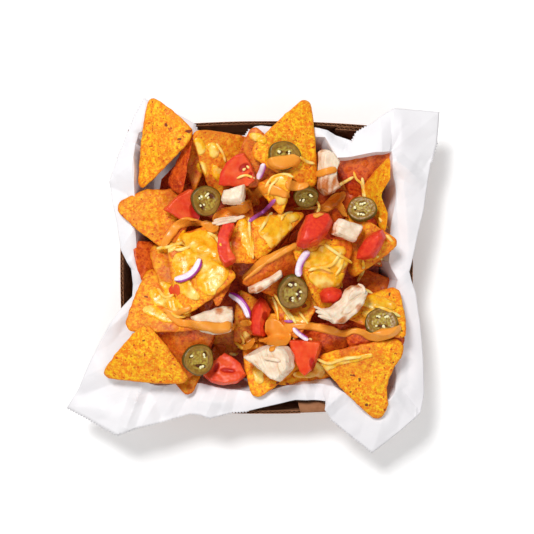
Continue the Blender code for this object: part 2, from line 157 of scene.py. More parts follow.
def add_piece(name, points, faces, material, replaced=(), smooth=50, values=None):
    """A mesh in the tray's own frame, in metres, that rides with the tray."""
    mesh = bpy.data.meshes.new(name)
    mesh.from_pydata([tuple(p) for p in points], [], [tuple(f) for f in faces])
    mesh.validate()
    mesh.materials.append(material)
    if smooth:
        mesh.shade_smooth()
        if smooth < 180:
            mesh.set_sharp_from_angle(angle=math.radians(smooth))
    for key, numbers in (values or {}).items():
        layer = mesh.attributes.new(key, "FLOAT", "POINT")
        layer.data.foreach_set("value", np.asarray(numbers, np.float32))
    obj = bpy.data.objects.new(name, mesh)
    bpy.context.scene.collection.objects.link(obj)
    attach(obj, "root")
    if replaced:
        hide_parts(*replaced)
    return obj


def loft(rings):
    """Points and faces of a closed skin through rings of equally many points."""
    count = len(rings[0])
    points = [point for ring in rings for point in ring]
    last = (len(rings) - 1) * count
    faces = [list(range(count))[::-1], list(range(last, last + count))]
    for start in range(0, last, count):
        for i in range(count):
            j = (i + 1) % count
            faces.append([start + i, start + j, start + count + j, start + count + i])
    return points, faces


class Joined:
    """Several closed shells gathered into one mesh, with one painted value for each point."""

    def __init__(self):
        self.points, self.faces, self.values = [], [], []

    def add(self, points, faces, values=0.0):
        start = len(self.points)
        self.points.extend(points)
        self.faces.extend([[start + i for i in face] for face in faces])
        self.values.extend([values] * len(points) if np.isscalar(values) else values)


def wall_point(quarter, t, inset, z):
    """A place in a wall: t from -1 to 1 along it, and an inset from its outer face."""
    half = tray_corner - inset - WALL_LEAN * (1 - z / tray_top)
    x, y = t * half, -half - tray_bow * (1 - t * t)
    c, s = ((1, 0), (0, 1), (-1, 0), (0, -1))[quarter]
    return (x * c - y * s, x * s + y * c, z)


def wall_slab(board, quarter, ends, low, high, span, spacing=0.006):
    """A closed sheet along a wall; span gives its two insets at each distance along the wall."""
    length = (ends[1] - ends[0]) * tray_corner
    steps = max(2, round(length / spacing))
    rings = []
    for step in range(steps + 1):
        t = ends[0] + (ends[1] - ends[0]) * step / steps
        outer, inner = span(t * tray_corner)
        ragged = 0.00012 * noise.noise(Vector((t * 90, quarter * 7.3, inner * 900)))
        rings.append([
            wall_point(quarter, t, outer, low), wall_point(quarter, t, inner, low),
            wall_point(quarter, t, inner, high + ragged), wall_point(quarter, t, outer, high + ragged),
        ])
    board.add(*loft(rings))


def corrugated(board, quarter, ends, inset, low, high):
    """One thickness of board: two flat faces with a wave of thinner paper between them."""
    core = BOARD - 2 * FACE_PAPER - FLUTE_PAPER
    wall_slab(board, quarter, ends, low, high, lambda s: (inset, inset + FACE_PAPER))
    wall_slab(board, quarter, ends, low, high,
              lambda s: (inset + BOARD - FACE_PAPER, inset + BOARD))

    def wave(s):
        middle = inset + BOARD / 2 + core / 2 * math.sin(2 * math.pi * s / FLUTE_PITCH)
        return middle - FLUTE_PAPER / 2, middle + FLUTE_PAPER / 2

    wall_slab(board, quarter, ends, low, high - 0.0002, wave, spacing=FLUTE_PITCH / 10)


def rolled_front(board, ends):
    """The front wall folded over itself: up the outside, round the top and down the inside."""
    radius = ROLL_DEPTH / 2
    profile = [(0, BOARD)]
    for step in range(9):
        angle = math.pi * step / 8
        profile.append((radius - radius * math.cos(angle), tray_top - 0.0022 + 0.0022 * math.sin(angle)))
    profile.append((ROLL_DEPTH, BOARD))
    inner = [(d + BOARD * (1 if d < radius else -1), z - BOARD * 0.9 * (z > tray_top / 2))
             for d, z in profile if abs(d - radius) > BOARD]
    section = profile + inner[::-1]
    rings = []
    for step in range(25):
        t = ends[0] + (ends[1] - ends[0]) * step / 24
        rings.append([wall_point(0, t, d, z) for d, z in section])
    board.add(*loft(rings))


board = Joined()
floor_ring = [wall_point(q, -1 + k / 6, 0.0001, 0) for q in range(4) for k in range(12)]
board.add(*loft([[(x, y, z) for x, y, _ in floor_ring] for z in (0, BOARD)]))
for quarter in (1, 2, 3):
    corrugated(board, quarter, (-1, 1), 0, BOARD * 0.9, tray_top)
notch = [x for x, y, z in tray_verts if z < tray_top - 0.003 and abs(y) > 0.09 and abs(x) < 0.03]
notch_ends = (min(notch) / tray_corner, max(notch) / tray_corner)
corrugated(board, 0, notch_ends, 0, BOARD * 0.9, tray_top)
rolled_front(board, (-0.995, notch_ends[0]))
rolled_front(board, (notch_ends[1], 0.995))
for ends in ((-0.98, -0.52), (0.52, 0.98)):
    corrugated(board, 2, ends, BOARD + 0.0001, BOARD, tray_top - 0.0008)

kraft, nodes, surface = shader("kraft board", 0.85, Specular_IOR_Level=0.25)
where = place(nodes)
fibres = noise_of(kraft, where, 260, 6, 0.65, (1, 1, 0.35))
blotches = noise_of(kraft, where, 45, 3)
board_colour = mixed(kraft, ramp(kraft, fibres, (0.3, 0.0), (0.7, 1.0)),
                     srgb(150, 98, 64), srgb(178, 124, 88))
board_colour = mixed(kraft, ramp(kraft, blotches, (0.35, 0.0), (0.75, 0.35)), board_colour, srgb(122, 76, 48))
feed(kraft, surface, Base_Color=board_colour)
bumped(kraft, surface, fibres, 0.25, 0.0002)
add_piece("tray_board", board.points, board.faces, kraft, ["tray"], smooth=40)


# ---------------------------------------------------------------------------------------
# Paper liner. One square sheet of white greaseproof paper, about 280 mm along each side, its
# edges cut with a toothed blade. It is pushed down into the tray by hand, creases at the
# tray's corners and spreads over the rim, its own corners lying out like wings.
# ---------------------------------------------------------------------------------------

PAPER_THICKNESS = 0.00025
TOOTH = 0.0021
TOOTH_DEPTH = 0.0015
PAPER_STEP = 0.0007

# Round the tray from the right: the free edge (x, y, z), the line where the paper leaves the
# food (x, y, z), all in millimetres, and 1 where the edge from here on is toothed.
PAPER_STATIONS = (
    (98.5, -3, 42.5, 86, -1, 44, 0), (99.5, 1, 44, 84.5, 4, 45, 0), (102, 12, 45, 85, 12, 47, 0),
    (104.5, 24, 46, 86.5, 24, 48, 0), (108.5, 40, 45, 88, 38, 49, 0), (111.5, 60, 43, 88, 58, 50, 0),
    (114, 73, 42, 87, 70, 50, 1), (118, 88, 40, 86.5, 78, 51, 0), (120, 108, 38, 86, 80, 52, 0),
    (100, 109, 43, 85.5, 80, 52, 0), (88, 109.5, 46, 84, 79.8, 54, 0), (80, 105, 47, 78, 78.6, 55, 0),
    (73, 99.5, 49, 70, 77.3, 56, 0), (70, 97.5, 49, 63, 76.7, 57, 1), (62, 92.5, 49, 56, 76, 56, 1),
    (59, 87, 47, 48, 75.5, 54, 0), (48, 91, 43, 44, 82, 49, 0), (42, 94.5, 43, 40, 89, 46, 0),
    (30, 97.5, 43, 30, 90, 44, 0), (3, 97.3, 43, 4, 91, 44, 0), (-4, 98, 43, -4, 91, 44, 0),
    (-8, 97.5, 43, -8, 90, 43, 0), (-12, 95, 42, -12, 89, 42, 1), (-14.5, 91.5, 39, -16, 86, 38, 0),
    (-30, 91, 37, -30, 85, 35, 0), (-45, 91, 38, -44, 87, 37, 0), (-47.5, 93.5, 42, -48, 90, 42, 1),
    (-50, 99.5, 44, -52, 92, 44, 0), (-58, 104, 45, -60, 92, 45, 0), (-70, 110, 45, -71, 92, 45, 0),
    (-83.5, 116, 43, -84, 93, 46, 1), (-90, 105, 44, -88, 92, 46, 1), (-96, 91, 45, -90, 84, 46, 1),
    (-103, 74, 44, -91, 72, 47, 0), (-108.5, 59, 43, -91, 60, 48, 0), (-106.5, 46, 43, -91, 48, 48, 0),
    (-103, 30, 44, -90.5, 32, 48, 0), (-100, 12, 45, -90, 16, 47, 0), (-96, 3.5, 46, -90, 5, 46, 0),
    (-93.5, -1, 43, -87, -3, 44, 0), (-92.5, -12, 41, -84, -11, 42, 0), (-92.8, -20, 42, -83.5, -19, 42, 0),
    (-100, -28, 44, -84.5, -26, 43, 0), (-108, -39, 44, -88, -34, 45, 0), (-115, -51, 43, -90, -43, 46, 0),
    (-122, -65, 41, -90, -53, 46, 0), (-130, -83, 38, -89, -65, 46, 0), (-139, -97.5, 34, -86, -76, 46, 1),
    (-121, -106.5, 38, -80, -80, 45, 1), (-104, -116, 38, -76, -81, 45, 1),
    (-90, -110.5, 41, -68, -80.5, 44, 1),
    (-70, -105.5, 43, -58, -80, 44, 1), (-53, -100.5, 44, -46, -81, 43, 1), (-46, -101, 44, -41, -82, 43, 1),
    (-39, -103.5, 44, -34, -83, 43, 1), (-25, -100, 44, -22, -84, 43, 1), (-12, -98.8, 44, -11, -86, 43, 0),
    (0, -96, 44, 2, -85, 43, 0), (20, -91.5, 43.5, 14, -82, 43, 0), (30, -91.5, 43.5, 24, -80, 44, 0),
    (41, -92, 43.5, 36, -79.5, 45, 0), (40, -98, 44, 46, -81, 46, 0), (45, -105, 42, 50, -84, 47, 1),
    (60, -117.5, 38, 58, -88, 47, 1), (74, -129, 33, 68, -91, 46, 0), (82, -122.5, 36, 76, -91.5, 46, 0),
    (92, -114, 39, 84, -90, 46, 0), (107, -100.5, 42, 88, -84, 46, 0), (109, -88, 43, 88.5, -74, 46, 0),
    (108, -62, 44, 88, -58, 46, 0), (106, -40, 44, 88.5, -38, 46, 0), (103, -18, 44, 89, -20, 46, 0),
    (100, -9, 43.5, 90, -9, 45, 0),
)

# Creases: two ends in millimetres, how far the fold stands up (or in), and its reach.
PAPER_CREASES = (
    ((-84, -76), (-90, -92), 2.7, 6), ((-90, -92), (-97, -111), 3.6, 6), ((-80, -84), (-72, -104), -2.2, 7),
    ((-86, -88), (-106, -96), -2, 8), ((-91, -58), (-130, -78), 2.4, 12), ((-96, -38), (-112, -60), -1.8, 8),
    ((-90, 72), (-108, 60), 3.4, 14), ((-92, 48), (-108, 56), -2.6, 10), ((-88, 86), (-99, 84), -3, 9),
    ((-86, 100), (-84, 116), 2.2, 8), ((-91, 30), (-91, 66), 1.4, 5), ((-92, 24), (-101, 12), 2.4, 8),
    ((-88, -4), (-84, -22), 1.2, 6), ((-93, -28), (-106, -40), 2, 8),
    ((85.5, 99), (85.5, 79), -2.9, 7), ((88, 98), (118, 94), 2, 14), ((87, 74), (104, 61), 3.6, 7),
    ((88, 60), (92, 10), -1.9, 6), ((104, 61), (112, 74), -2, 8), ((60, 78), (72, 98), -2.2, 9),
    ((46, 90), (58, 84), -1.6, 6), ((36, 96), (44, 82), 1.4, 7), ((96, -3), (90, -8), 1.7, 6),
    ((90, -30), (92, -80), 1.5, 6), ((86, -88), (60, -92), 2, 7), ((80, -101), (60, -93), -2.2, 6),
    ((84, -91), (74, -128), 2.6, 12), ((94, -84), (106, -100), -2.2, 7), ((52, -86), (39, -99), 2.5, 7),
    ((24, -81), (28, -91), 1.9, 6), ((36, -80), (33, -91), -2, 6), ((44, -84), (42, -92), 1.7, 5),
    ((14, -84), (16, -92), -1.2, 6), ((-70, -82), (-86, -109), 1.6, 8), ((-50, -82), (-62, -103), -2.2, 8),
    ((-34, -84), (-42, -102), 2.4, 7), ((-20, -86), (-24, -100), -1.6, 6), ((-46, -92), (-30, -93), 1.2, 7),
    ((-110, -98), (-134, -97), 1.4, 8), ((-104, -80), (-128, -88), -1.6, 9),
)


def along(stations, step):
    """The table's rows, evenly filled in along the free edge."""
    rows = np.array(stations, float)
    filled = []
    for here, there in zip(rows, np.roll(rows, -1, axis=0)):
        count = max(2, round(np.linalg.norm(there[:3] - here[:3]) * MM / step))
        for k in range(count):
            row = here + (there - here) * k / count
            row[6] = here[6]
            filled.append(row)
    return np.array(filled)


def crease_lift(x, y):
    """Height that the creases give the paper at a place, in millimetres."""
    lift = 0.0
    for (ax, ay), (bx, by), height, reach in PAPER_CREASES:
        length = math.hypot(bx - ax, by - ay)
        ux, uy = (bx - ax) / length, (by - ay) / length
        run = (x - ax) * ux + (y - ay) * uy
        off = abs((x - ax) * uy - (y - ay) * ux)
        past = max(-run, run - length, 0)
        lift += height * max(0.0, 1 - off / reach) * max(0.0, 1 - past / reach)
    return lift


rows = along(PAPER_STATIONS, PAPER_STEP)
edge, mouth, toothed = rows[:, 0:3].copy(), rows[:, 3:6].copy(), rows[:, 6]
tangent = np.roll(edge, -1, axis=0) - np.roll(edge, 1, axis=0)
tangent /= np.linalg.norm(tangent, axis=1)[:, None]
walked = np.cumsum(np.linalg.norm(np.roll(edge, -1, axis=0) - edge, axis=1)) * MM
teeth = np.abs((walked / TOOTH) % 1 - 0.5) * 2 * TOOTH_DEPTH / MM * toothed

paper_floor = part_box("paper_liner")[0].z / MM + 0.4
rings = []
for share, height in ((0.90, 0.0), (0.925, 0.12), (0.945, 0.50), (0.97, 0.82)):
    ring = mouth.copy()
    ring[:, :2] *= share
    ring[:, 2] = paper_floor + (mouth[:, 2] - paper_floor) * height
    rings.append(ring)
rings.append(mouth)
FLAP_RINGS = 22
for k in range(1, FLAP_RINGS + 1):
    share = (k / FLAP_RINGS) ** 0.9
    ring = mouth + (edge - mouth) * share
    ring[:, 2] += 1.2 * math.sin(math.pi * share)
    rings.append(ring)
rings[-1][:, 0] += tangent[:, 1] * teeth
rings[-1][:, 1] -= tangent[:, 0] * teeth
for level, ring in enumerate(rings[1:], 1):
    loose = min(1.0, level / 5)
    for point in ring:
        x, y, z = point
        point[2] += loose * 2.4 * noise.noise(Vector((x / 30, y / 30, 3.1)))
        point[2] += loose * 0.8 * abs(noise.noise(Vector((x / 11, y / 11, 8.6))))
        point[2] += loose * crease_lift(x, y)
        if level < 5:
            point[:2] *= 1 + 0.022 * noise.noise(Vector((x / 16, y / 16, z / 30)))
rim = (tray_top + 0.0009) / MM
for ring in rings:
    outside = np.abs(ring[:, :2]).max(axis=1) > (tray_corner - ROLL_DEPTH - 0.001) / MM
    over_board = np.abs(ring[:, :2]).max(axis=1) < tray_high.x / MM + 2.5
    ring[:, 2] = np.where(outside & over_board, np.maximum(ring[:, 2], rim), ring[:, 2])

count = len(rows)
paper_points = [tuple(p * MM) for ring in rings for p in ring]
paper_faces = [list(range(count))]
for level in range(len(rings) - 1):
    for i in range(count):
        j = (i + 1) % count
        a, b = level * count, (level + 1) * count
        paper_faces.append([a + i, b + i, b + j, a + j])

paper, nodes, surface = shader("greaseproof paper", 0.5, Specular_IOR_Level=0.35)
where = place(nodes)
cloud = noise_of(paper, where, 30, 4)
pulp = noise_of(paper, where, 700, 4, 0.6)
paper_colour = mixed(paper, ramp(paper, cloud, (0.3, 0.0), (0.7, 1.0)),
                     srgb(238, 235, 238), srgb(246, 244, 246))
feed(paper, surface, Base_Color=paper_colour)
bumped(paper, surface, pulp, 0.08, 0.0001)
liner = add_piece("paper_sheet", paper_points, paper_faces, paper, ["paper_liner"], smooth=16)
thick = liner.modifiers.new("Thickness", "SOLIDIFY")
thick.thickness = PAPER_THICKNESS
thick.offset = 0


# ---------------------------------------------------------------------------------------
# Chips. Triangles cut from a thin sheet of maize dough, toasted, fried and dusted with an
# orange cheese seasoning. Frying bends each one and raises blisters over both its faces.
# ---------------------------------------------------------------------------------------

CHIP_THICKNESS = 0.0017
CHIP_SPOKES = 84
CHIP_RINGS = 18
food = []


def smooth_outline(corners, count):
    """A closed curve through a few points, evenly walked, by rounding every corner twice."""
    curve = np.array(corners, float)
    for _ in range(3):
        after = np.roll(curve, -1, axis=0)
        curve = np.stack((curve * 0.75 + after * 0.25, curve * 0.25 + after * 0.75), axis=1).reshape(-1, 2)
    ends = np.vstack((curve, curve[:1]))
    run = np.concatenate(([0], np.cumsum(np.linalg.norm(np.diff(ends, axis=0), axis=1))))
    where = np.linspace(0, run[-1], count, endpoint=False)
    return np.column_stack((np.interp(where, run, ends[:, 0]), np.interp(where, run, ends[:, 1])))


def hull_outline(points):
    """The corners of the shape that the points cover, seen from above, in order."""
    points = sorted(set(map(tuple, np.round(points, 6))))

    def half(ordered):
        chain = []
        for p in ordered:
            while len(chain) > 1 and (
                (chain[-1][0] - chain[-2][0]) * (p[1] - chain[-2][1])
                - (chain[-1][1] - chain[-2][1]) * (p[0] - chain[-2][0])
            ) <= 0:
                chain.pop()
            chain.append(p)
        return chain[:-1]

    return np.array(half(points) + half(points[::-1]))


def bend_of(verts):
    """The middle surface of a chip, as a height for any place, read off its solid."""
    x, y, z = verts.T
    cx, cy = x.mean(), y.mean()

    def terms(u, v):
        u, v = u - cx, v - cy
        return np.column_stack((np.ones_like(u), u, v, u * u, u * v, v * v))

    fit = np.linalg.lstsq(terms(x, y), z, rcond=None)[0]
    return lambda u, v: terms(u, v) @ fit


def disc_faces(rings, spokes):
    """Faces between the rings of an upper and then a lower sheet, and round their shared edge."""
    faces = []
    for half in (0, 1):
        for k in range(rings - 1):
            a = (half * rings + k) * spokes
            for i in range(spokes):
                j = (i + 1) % spokes
                quad = [a + i, a + spokes + i, a + spokes + j, a + j]
                faces.append(quad[::-1] if half else quad)
    top, bottom = (rings - 1) * spokes, (2 * rings - 1) * spokes
    for i in range(spokes):
        j = (i + 1) % spokes
        faces.append([top + i, bottom + i, bottom + j, top + j])
    return faces


def chip_shell(outline, height, seed, spokes=CHIP_SPOKES, rings=CHIP_RINGS, dents=()):
    """A fried chip over an outline: two blistered faces and a rounded, ragged edge."""
    rng = random.Random(seed)
    curve = smooth_outline(outline, spokes)
    middle = curve.mean(axis=0)
    for x, y, radius in dents:
        off = curve - np.array((x, y)) * MM
        reach = np.linalg.norm(off, axis=1)[:, None]
        curve = np.where(reach < radius * MM, curve + off * (radius * MM / reach - 1), curve)
    shift = Vector((rng.uniform(-9, 9), rng.uniform(-9, 9), rng.uniform(-9, 9)))
    for i, point in enumerate(curve):
        ragged = noise.noise(Vector((*(point * 260), 0)) + shift) * 0.0007
        away = point - middle
        curve[i] = point + away / np.linalg.norm(away) * ragged
    shares = [((k + 1) / rings) ** 0.85 for k in range(rings)]
    points, edges = [], []
    for side in (1, -1):
        for k, share in enumerate(shares):
            rounding = 1.0 if k < rings - 1 else 0.42
            flat = middle + (curve - middle) * (share - (0 if k < rings - 1 else -0.006))
            mid = height(flat[:, 0], flat[:, 1])
            for (x, y), z in zip(flat, mid):
                spot = Vector((x * 210, y * 210, side * 5.0)) + shift
                broad = noise.noise(spot * 0.45) * 0.0009
                bubble = max(0.0, noise.noise(spot) - 0.12) * 0.0026 * min(1, (1 - share) * 6 + 0.15)
                fine = noise.noise(spot * 3.3) * 0.00016
                lift = noise.noise(Vector((x * 60, y * 60, 0)) + shift) * 0.0012
                offset = side * (CHIP_THICKNESS / 2 * rounding + bubble + fine) + lift + broad * 0.3
                points.append((x, y, z + offset))
                edges.append(share)
    centres = []
    for side in (1, -1):
        z = float(height(np.array([middle[0]]), np.array([middle[1]]))[0])
        lift = noise.noise(Vector((middle[0] * 60, middle[1] * 60, 0)) + shift) * 0.0012
        centres.append(len(points))
        points.append((middle[0], middle[1], z + lift + side * CHIP_THICKNESS / 2))
        edges.append(0.0)
    faces = disc_faces(rings, spokes)
    for half in (0, 1):
        base = half * rings * spokes
        for i in range(spokes):
            fan = [centres[half], base + i, base + (i + 1) % spokes]
            faces.append(fan[::-1] if half else fan)
    return points, faces, edges


def sauced(points, shade):
    """How dark red a chip is at each point: its own shade, more where sauce has soaked in, and painted shade
    low in the pile.
    """
    tones = []
    for x, y, z in points:
        inward = min(1.0, max(0.0, (0.082 - max(abs(x), abs(y))) / 0.025))
        blotch = noise.noise(Vector((x * 85, y * 85, 4.4)))
        blotch += 0.5 * noise.noise(Vector((x * 210, y * 210, z * 90)))
        soaked = min(0.75, max(0.0, blotch * 1.7 - 0.05)) * inward
        # Painted shade: the lower a chip lies in the tray, the darker red it is painted.
        low = min(0.6, max(0.0, (0.047 - z) / 0.026)) * inward
        tones.append(min(1.0, max(0.0, shade + soaked * (1 - shade) + low)))
    return tones


# How dark red each kind of chip is, from 0 to 1: the dark red of the seasoning, and for chips that lie in
# shade also painted shade.
CHIP_TONES = {
    "chip_left_dark": 0.9, "chip_front_left_dark": 0.75, "chip_back_right_dark": 0.85,
    "chip_back_left_steep": 0.95, "chip_back_lobe": 0.6, "chip_front_dark": 0.9, "chip_back_cheesy": 0.35,
    "chip_front_right_dark": 0.85, "chip_right_small": 0.55, "chip_curled_end": 0.6,
    "chip_middle_standing": 0.7, "chip_middle_left_front": 0.3, "chip_front_left_low": 0.45,
    "chip_left_pointing": 0.22, "chip_front_lower": 0.35, "chip_left_lower": 0.25,
    "chip_left_middle": 0.3, "chip_middle_left": 0.2, "chip_right_tip": 0.3,
    "chip_middle_front": 0.3, "chip_front_pointing": 0.15,
}

# Where the edge of a chip is hollowed out: a circle's middle and radius, in millimetres.
CHIP_DENTS = {
    "chip_corner_front_right": [(115, -84, 33)], "chip_right_steep": [(95, 47, 17), (90, 90, 16)],
    "chip_corner_back_left": [(-56, 64, 12)], "chip_left_pointing": [(-74, 93.5, 40)],
}

fried, nodes, surface = shader("seasoned chip", 0.55, Specular_IOR_Level=0.25)
where = place(nodes)
tone = painted(fried, "tone")
rim_share = painted(fried, "rim")
cloud = noise_of(fried, where, 95, 3, 0.55)
mottle = noise_of(fried, where, 330, 4, 0.65)
dust = noise_of(fried, where, 900, 3, 0.7)
speck = noise_of(fried, where, 420, 2, 0.45, (1, 1, 1.3))
rare = noise_of(fried, where, 170, 1, 0.4)
grains = noise_of(fried, where, 640, 3, 0.6)
chip_colour = mixed(fried, ramp(fried, mottle, (0.42, 0.0), (0.57, 1.0)),
                    srgb(243, 132, 10), srgb(255, 208, 26))
chip_colour = mixed(fried, ramp(fried, grains, (0.47, 0.0), (0.58, 0.7)), chip_colour, srgb(240, 112, 12))
chip_colour = mixed(fried, ramp(fried, cloud, (0.48, 0.0), (0.70, 0.6)), chip_colour, srgb(244, 122, 14))
chip_colour = mixed(fried, ramp(fried, dust, (0.55, 0.0), (0.62, 0.85)), chip_colour, srgb(254, 212, 60))
chip_colour = mixed(fried, ramp(fried, rim_share, (0.88, 0.0), (1.0, 0.5)), chip_colour, srgb(238, 124, 8))
chip_colour = mixed(fried, ramp(fried, speck, (0.655, 0.0), (0.69, 0.85)), chip_colour, srgb(190, 52, 18))
chip_colour = mixed(fried, ramp(fried, rare, (0.74, 0.0), (0.76, 0.9)), chip_colour, srgb(104, 26, 24))
dark_chip = mixed(fried, ramp(fried, mottle, (0.40, 0.0), (0.60, 1.0)), srgb(176, 36, 14), srgb(226, 84, 26))
dark_chip = mixed(fried, ramp(fried, cloud, (0.50, 0.0), (0.66, 0.8)), dark_chip, srgb(160, 34, 18))
dark_chip = mixed(fried, ramp(fried, grains, (0.50, 0.0), (0.62, 0.6)), dark_chip, srgb(232, 108, 30))
# The dark red mixed in here is partly the seasoning's colour and partly painted shade on chips that lie in
# shade.
chip_colour = mixed(fried, tone, chip_colour, dark_chip)
feed(fried, surface, Base_Color=chip_colour, Roughness=ramp(fried, tone, (0.2, 0.58), (0.9, 0.32)))
bumped(fried, surface, mixed(fried, 0.5, mottle, grains), 0.5, 0.0007)

for number, name in enumerate(sorted(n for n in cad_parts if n.startswith("chip_") and n != "chip_bed")):
    verts = np.array([v.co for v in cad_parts[name].data.vertices])
    outline = hull_outline(verts[:, :2])
    points, faces, edges = chip_shell(outline, bend_of(verts), number, dents=CHIP_DENTS.get(name, ()))
    rng = random.Random(number)
    shade = CHIP_TONES.get(name, 0.05) + rng.uniform(-0.04, 0.04)
    food.append(add_piece(
        name.replace("chip_", "fried_chip_"), points, faces, fried, [name], smooth=180,
        values={"rim": edges, "tone": sauced(points, shade)}))


# ---------------------------------------------------------------------------------------
# Loose chips and core. Below the chips that show, more chips lie in sauce at the bottom of
# the tray. Those seen in the gaps are real chips; under them a low core fills the tray.
# ---------------------------------------------------------------------------------------

bed_low, bed_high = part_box("chip_bed")

# Chips in the gaps: three tips, each (x, y, z) in millimetres, and how dark it is, partly seasoning and partly
# painted shade for the deep gaps.
LOOSE_CHIPS = (
    ((-62, 88, 38), (-36, 90, 37), (-50, 50, 40), 0.6), ((-46, 30, 44), (-10, 44, 46), (-30, 16, 40), 0.8),
    ((44, 80, 33), (69, 81, 34), (56, 60, 27), 0.75), ((-27, 7, 33), (-3, 5, 34), (-13, -24, 26), 0.9),
    ((86, -68, 27), (98, -44, 31), (62, -50, 24), 0.85), ((-52, -37, 27), (-6, -41, 29), (-27, -66, 24), 0.6),
    ((28, 58, 31), (64, 52, 36), (46, 20, 24), 0.9), ((44, 62, 33), (76, 57, 35), (58, 34, 28), 0.55),
    ((-20, 28, 29), (-48, 38, 26), (-36, 3, 24), 0.9), ((-8, 34, 30), (22, 44, 30), (12, 8, 24), 0.85),
    ((60, 2, 26), (88, -8, 30), (74, -42, 24), 0.8), ((-20, -46, 26), (6, -50, 27), (-10, -82, 23), 0.8),
    ((30, -70, 22), (60, -66, 22), (46, -36, 28), 0.9), ((-62, 80, 26), (-34, 84, 24), (-50, 48, 22), 0.7),
    ((-30, 78, 26), (8, 84, 28), (-10, 50, 22), 0.7), ((22, 84, 27), (48, 78, 25), (36, 46, 22), 0.8),
    ((-84, 34, 24), (-52, 30, 26), (-70, -2, 22), 0.8), ((-86, -30, 24), (-56, -20, 26), (-70, -58, 22), 0.7),
    ((60, 84, 24), (84, 70, 26), (66, 44, 22), 0.85), ((68, 30, 24), (84, 0, 26), (52, 4, 22), 0.8),
    ((-3, -31, 46), (22, -33, 47), (9, -58, 43), 0.25), ((10, -60, 24), (40, -84, 24), (50, -52, 22), 0.7),
    ((56, -60, 23), (86, -80, 25), (84, -46, 24), 0.8),
    ((-40, -60, 22), (-66, -84, 23), (-24, -84, 22), 0.75),
    ((-30, -8, 24), (-60, 4, 23), (-44, -40, 22), 0.9),
    ((20, 4, 25), (50, 10, 26), (38, -30, 22), 0.9), ((-6, -6, 24), (24, -14, 25), (4, -44, 22), 0.9),
)

loose = Joined()
loose_rims = []
for number, (*tips, shade) in enumerate(LOOSE_CHIPS):
    tips = np.array(tips) * MM
    flat = np.column_stack((np.ones(3), tips[:, :2]))
    plane = np.linalg.solve(flat, tips[:, 2])
    centre = tips[:, :2].mean(axis=0)
    corners = list(tips[:, :2])
    spread = []
    for p, q in zip(corners, corners[1:] + corners[:1]):
        spread += [p, p * 0.75 + q * 0.25, p * 0.25 + q * 0.75]

    def lying(u, v, plane=plane, centre=centre):
        away = ((u - centre[0]) ** 2 + (v - centre[1]) ** 2) / 0.0004
        return plane[0] + plane[1] * u + plane[2] * v + 0.003 * (1 - np.minimum(away, 2.5))

    points, faces, edges = chip_shell(spread, lying, 100 + number, spokes=48, rings=10)
    loose.add(points, faces, shade)
    loose_rims.extend(edges)
food.append(add_piece(
    "loose_chips", loose.points, loose.faces, fried, ["chip_bed"], smooth=180,
    values={"rim": loose_rims, "tone": loose.values}))

CORE_SIDES = 36
core = Joined()
core_rings = []
core_levels = (
    (0.90, bed_low.z), (1.02, bed_low.z + 0.004), (1.04, bed_high.z - 0.005), (0.60, bed_high.z - 0.002),
)
for share, z in core_levels:
    ring = []
    for step in range(CORE_SIDES):
        angle = 2 * math.pi * step / CORE_SIDES
        reach = share * bed_high.x / max(abs(math.cos(angle)), abs(math.sin(angle))) ** 0.85
        bumpy = 0.0012 * math.sin(5 * angle) + 0.0009 * math.cos(9 * angle)
        ring.append(((reach + bumpy) * math.cos(angle), (reach + bumpy) * math.sin(angle), z + bumpy))
    core_rings.append(ring)
core.add(*loft(core_rings))
# The core is painted the darkest tone all over: painted shade for the bottom of the gaps.
food.append(add_piece(
    "heap_core", core.points, core.faces, fried, smooth=60,
    values={"rim": [0.0] * len(core.points), "tone": [1.0] * len(core.points)}))


# ---------------------------------------------------------------------------------------
# Surface of the pile. What is poured or sprinkled last lies on everything below it, so the
# height of the pile is taken over a fine grid, once as it is and once evened out.
# ---------------------------------------------------------------------------------------

GRID = 0.0007
GRID_REACH = 0.118
GRID_COUNT = round(2 * GRID_REACH / GRID)


def pile_heights():
    """The highest point of the food over every cell of the grid."""
    all_points, all_faces = [], []
    for obj in food:
        start = len(all_points)
        all_points.extend(v.co for v in obj.data.vertices)
        all_faces.extend([start + i for i in p.vertices] for p in obj.data.polygons)
    tree = BVHTree.FromPolygons(all_points, all_faces)
    field = np.full((GRID_COUNT, GRID_COUNT), 0.012)
    down = Vector((0, 0, -1))
    for i in range(GRID_COUNT):
        for j in range(GRID_COUNT):
            hit = tree.ray_cast(Vector((i * GRID - GRID_REACH, j * GRID - GRID_REACH, 0.2)), down)[0]
            if hit:
                field[i, j] = hit.z
    return field


def evened(field, cells, rounds=2):
    """The field averaged over a square of cells, the given number of times."""
    for _ in range(rounds):
        for axis in (0, 1):
            total = np.zeros_like(field)
            for shift in range(-cells, cells + 1):
                total += np.roll(field, shift, axis=axis)
            field = total / (2 * cells + 1)
    return field


def spread_up(field, cells):
    """Each cell takes the highest value found within the given number of cells."""
    for _ in range(cells):
        for axis in (0, 1):
            field = np.maximum(field, np.maximum(np.roll(field, 1, axis=axis), np.roll(field, -1, axis=axis)))
    return field


def height_at(field, x, y):
    """The field's value at places in metres, in between its cells."""
    u = np.clip((np.asarray(x) + GRID_REACH) / GRID, 0, GRID_COUNT - 1.001)
    v = np.clip((np.asarray(y) + GRID_REACH) / GRID, 0, GRID_COUNT - 1.001)
    i, j = u.astype(int), v.astype(int)
    s, t = u - i, v - j
    return ((1 - s) * (1 - t) * field[i, j] + s * (1 - t) * field[i + 1, j]
            + (1 - s) * t * field[i, j + 1] + s * t * field[i + 1, j + 1])


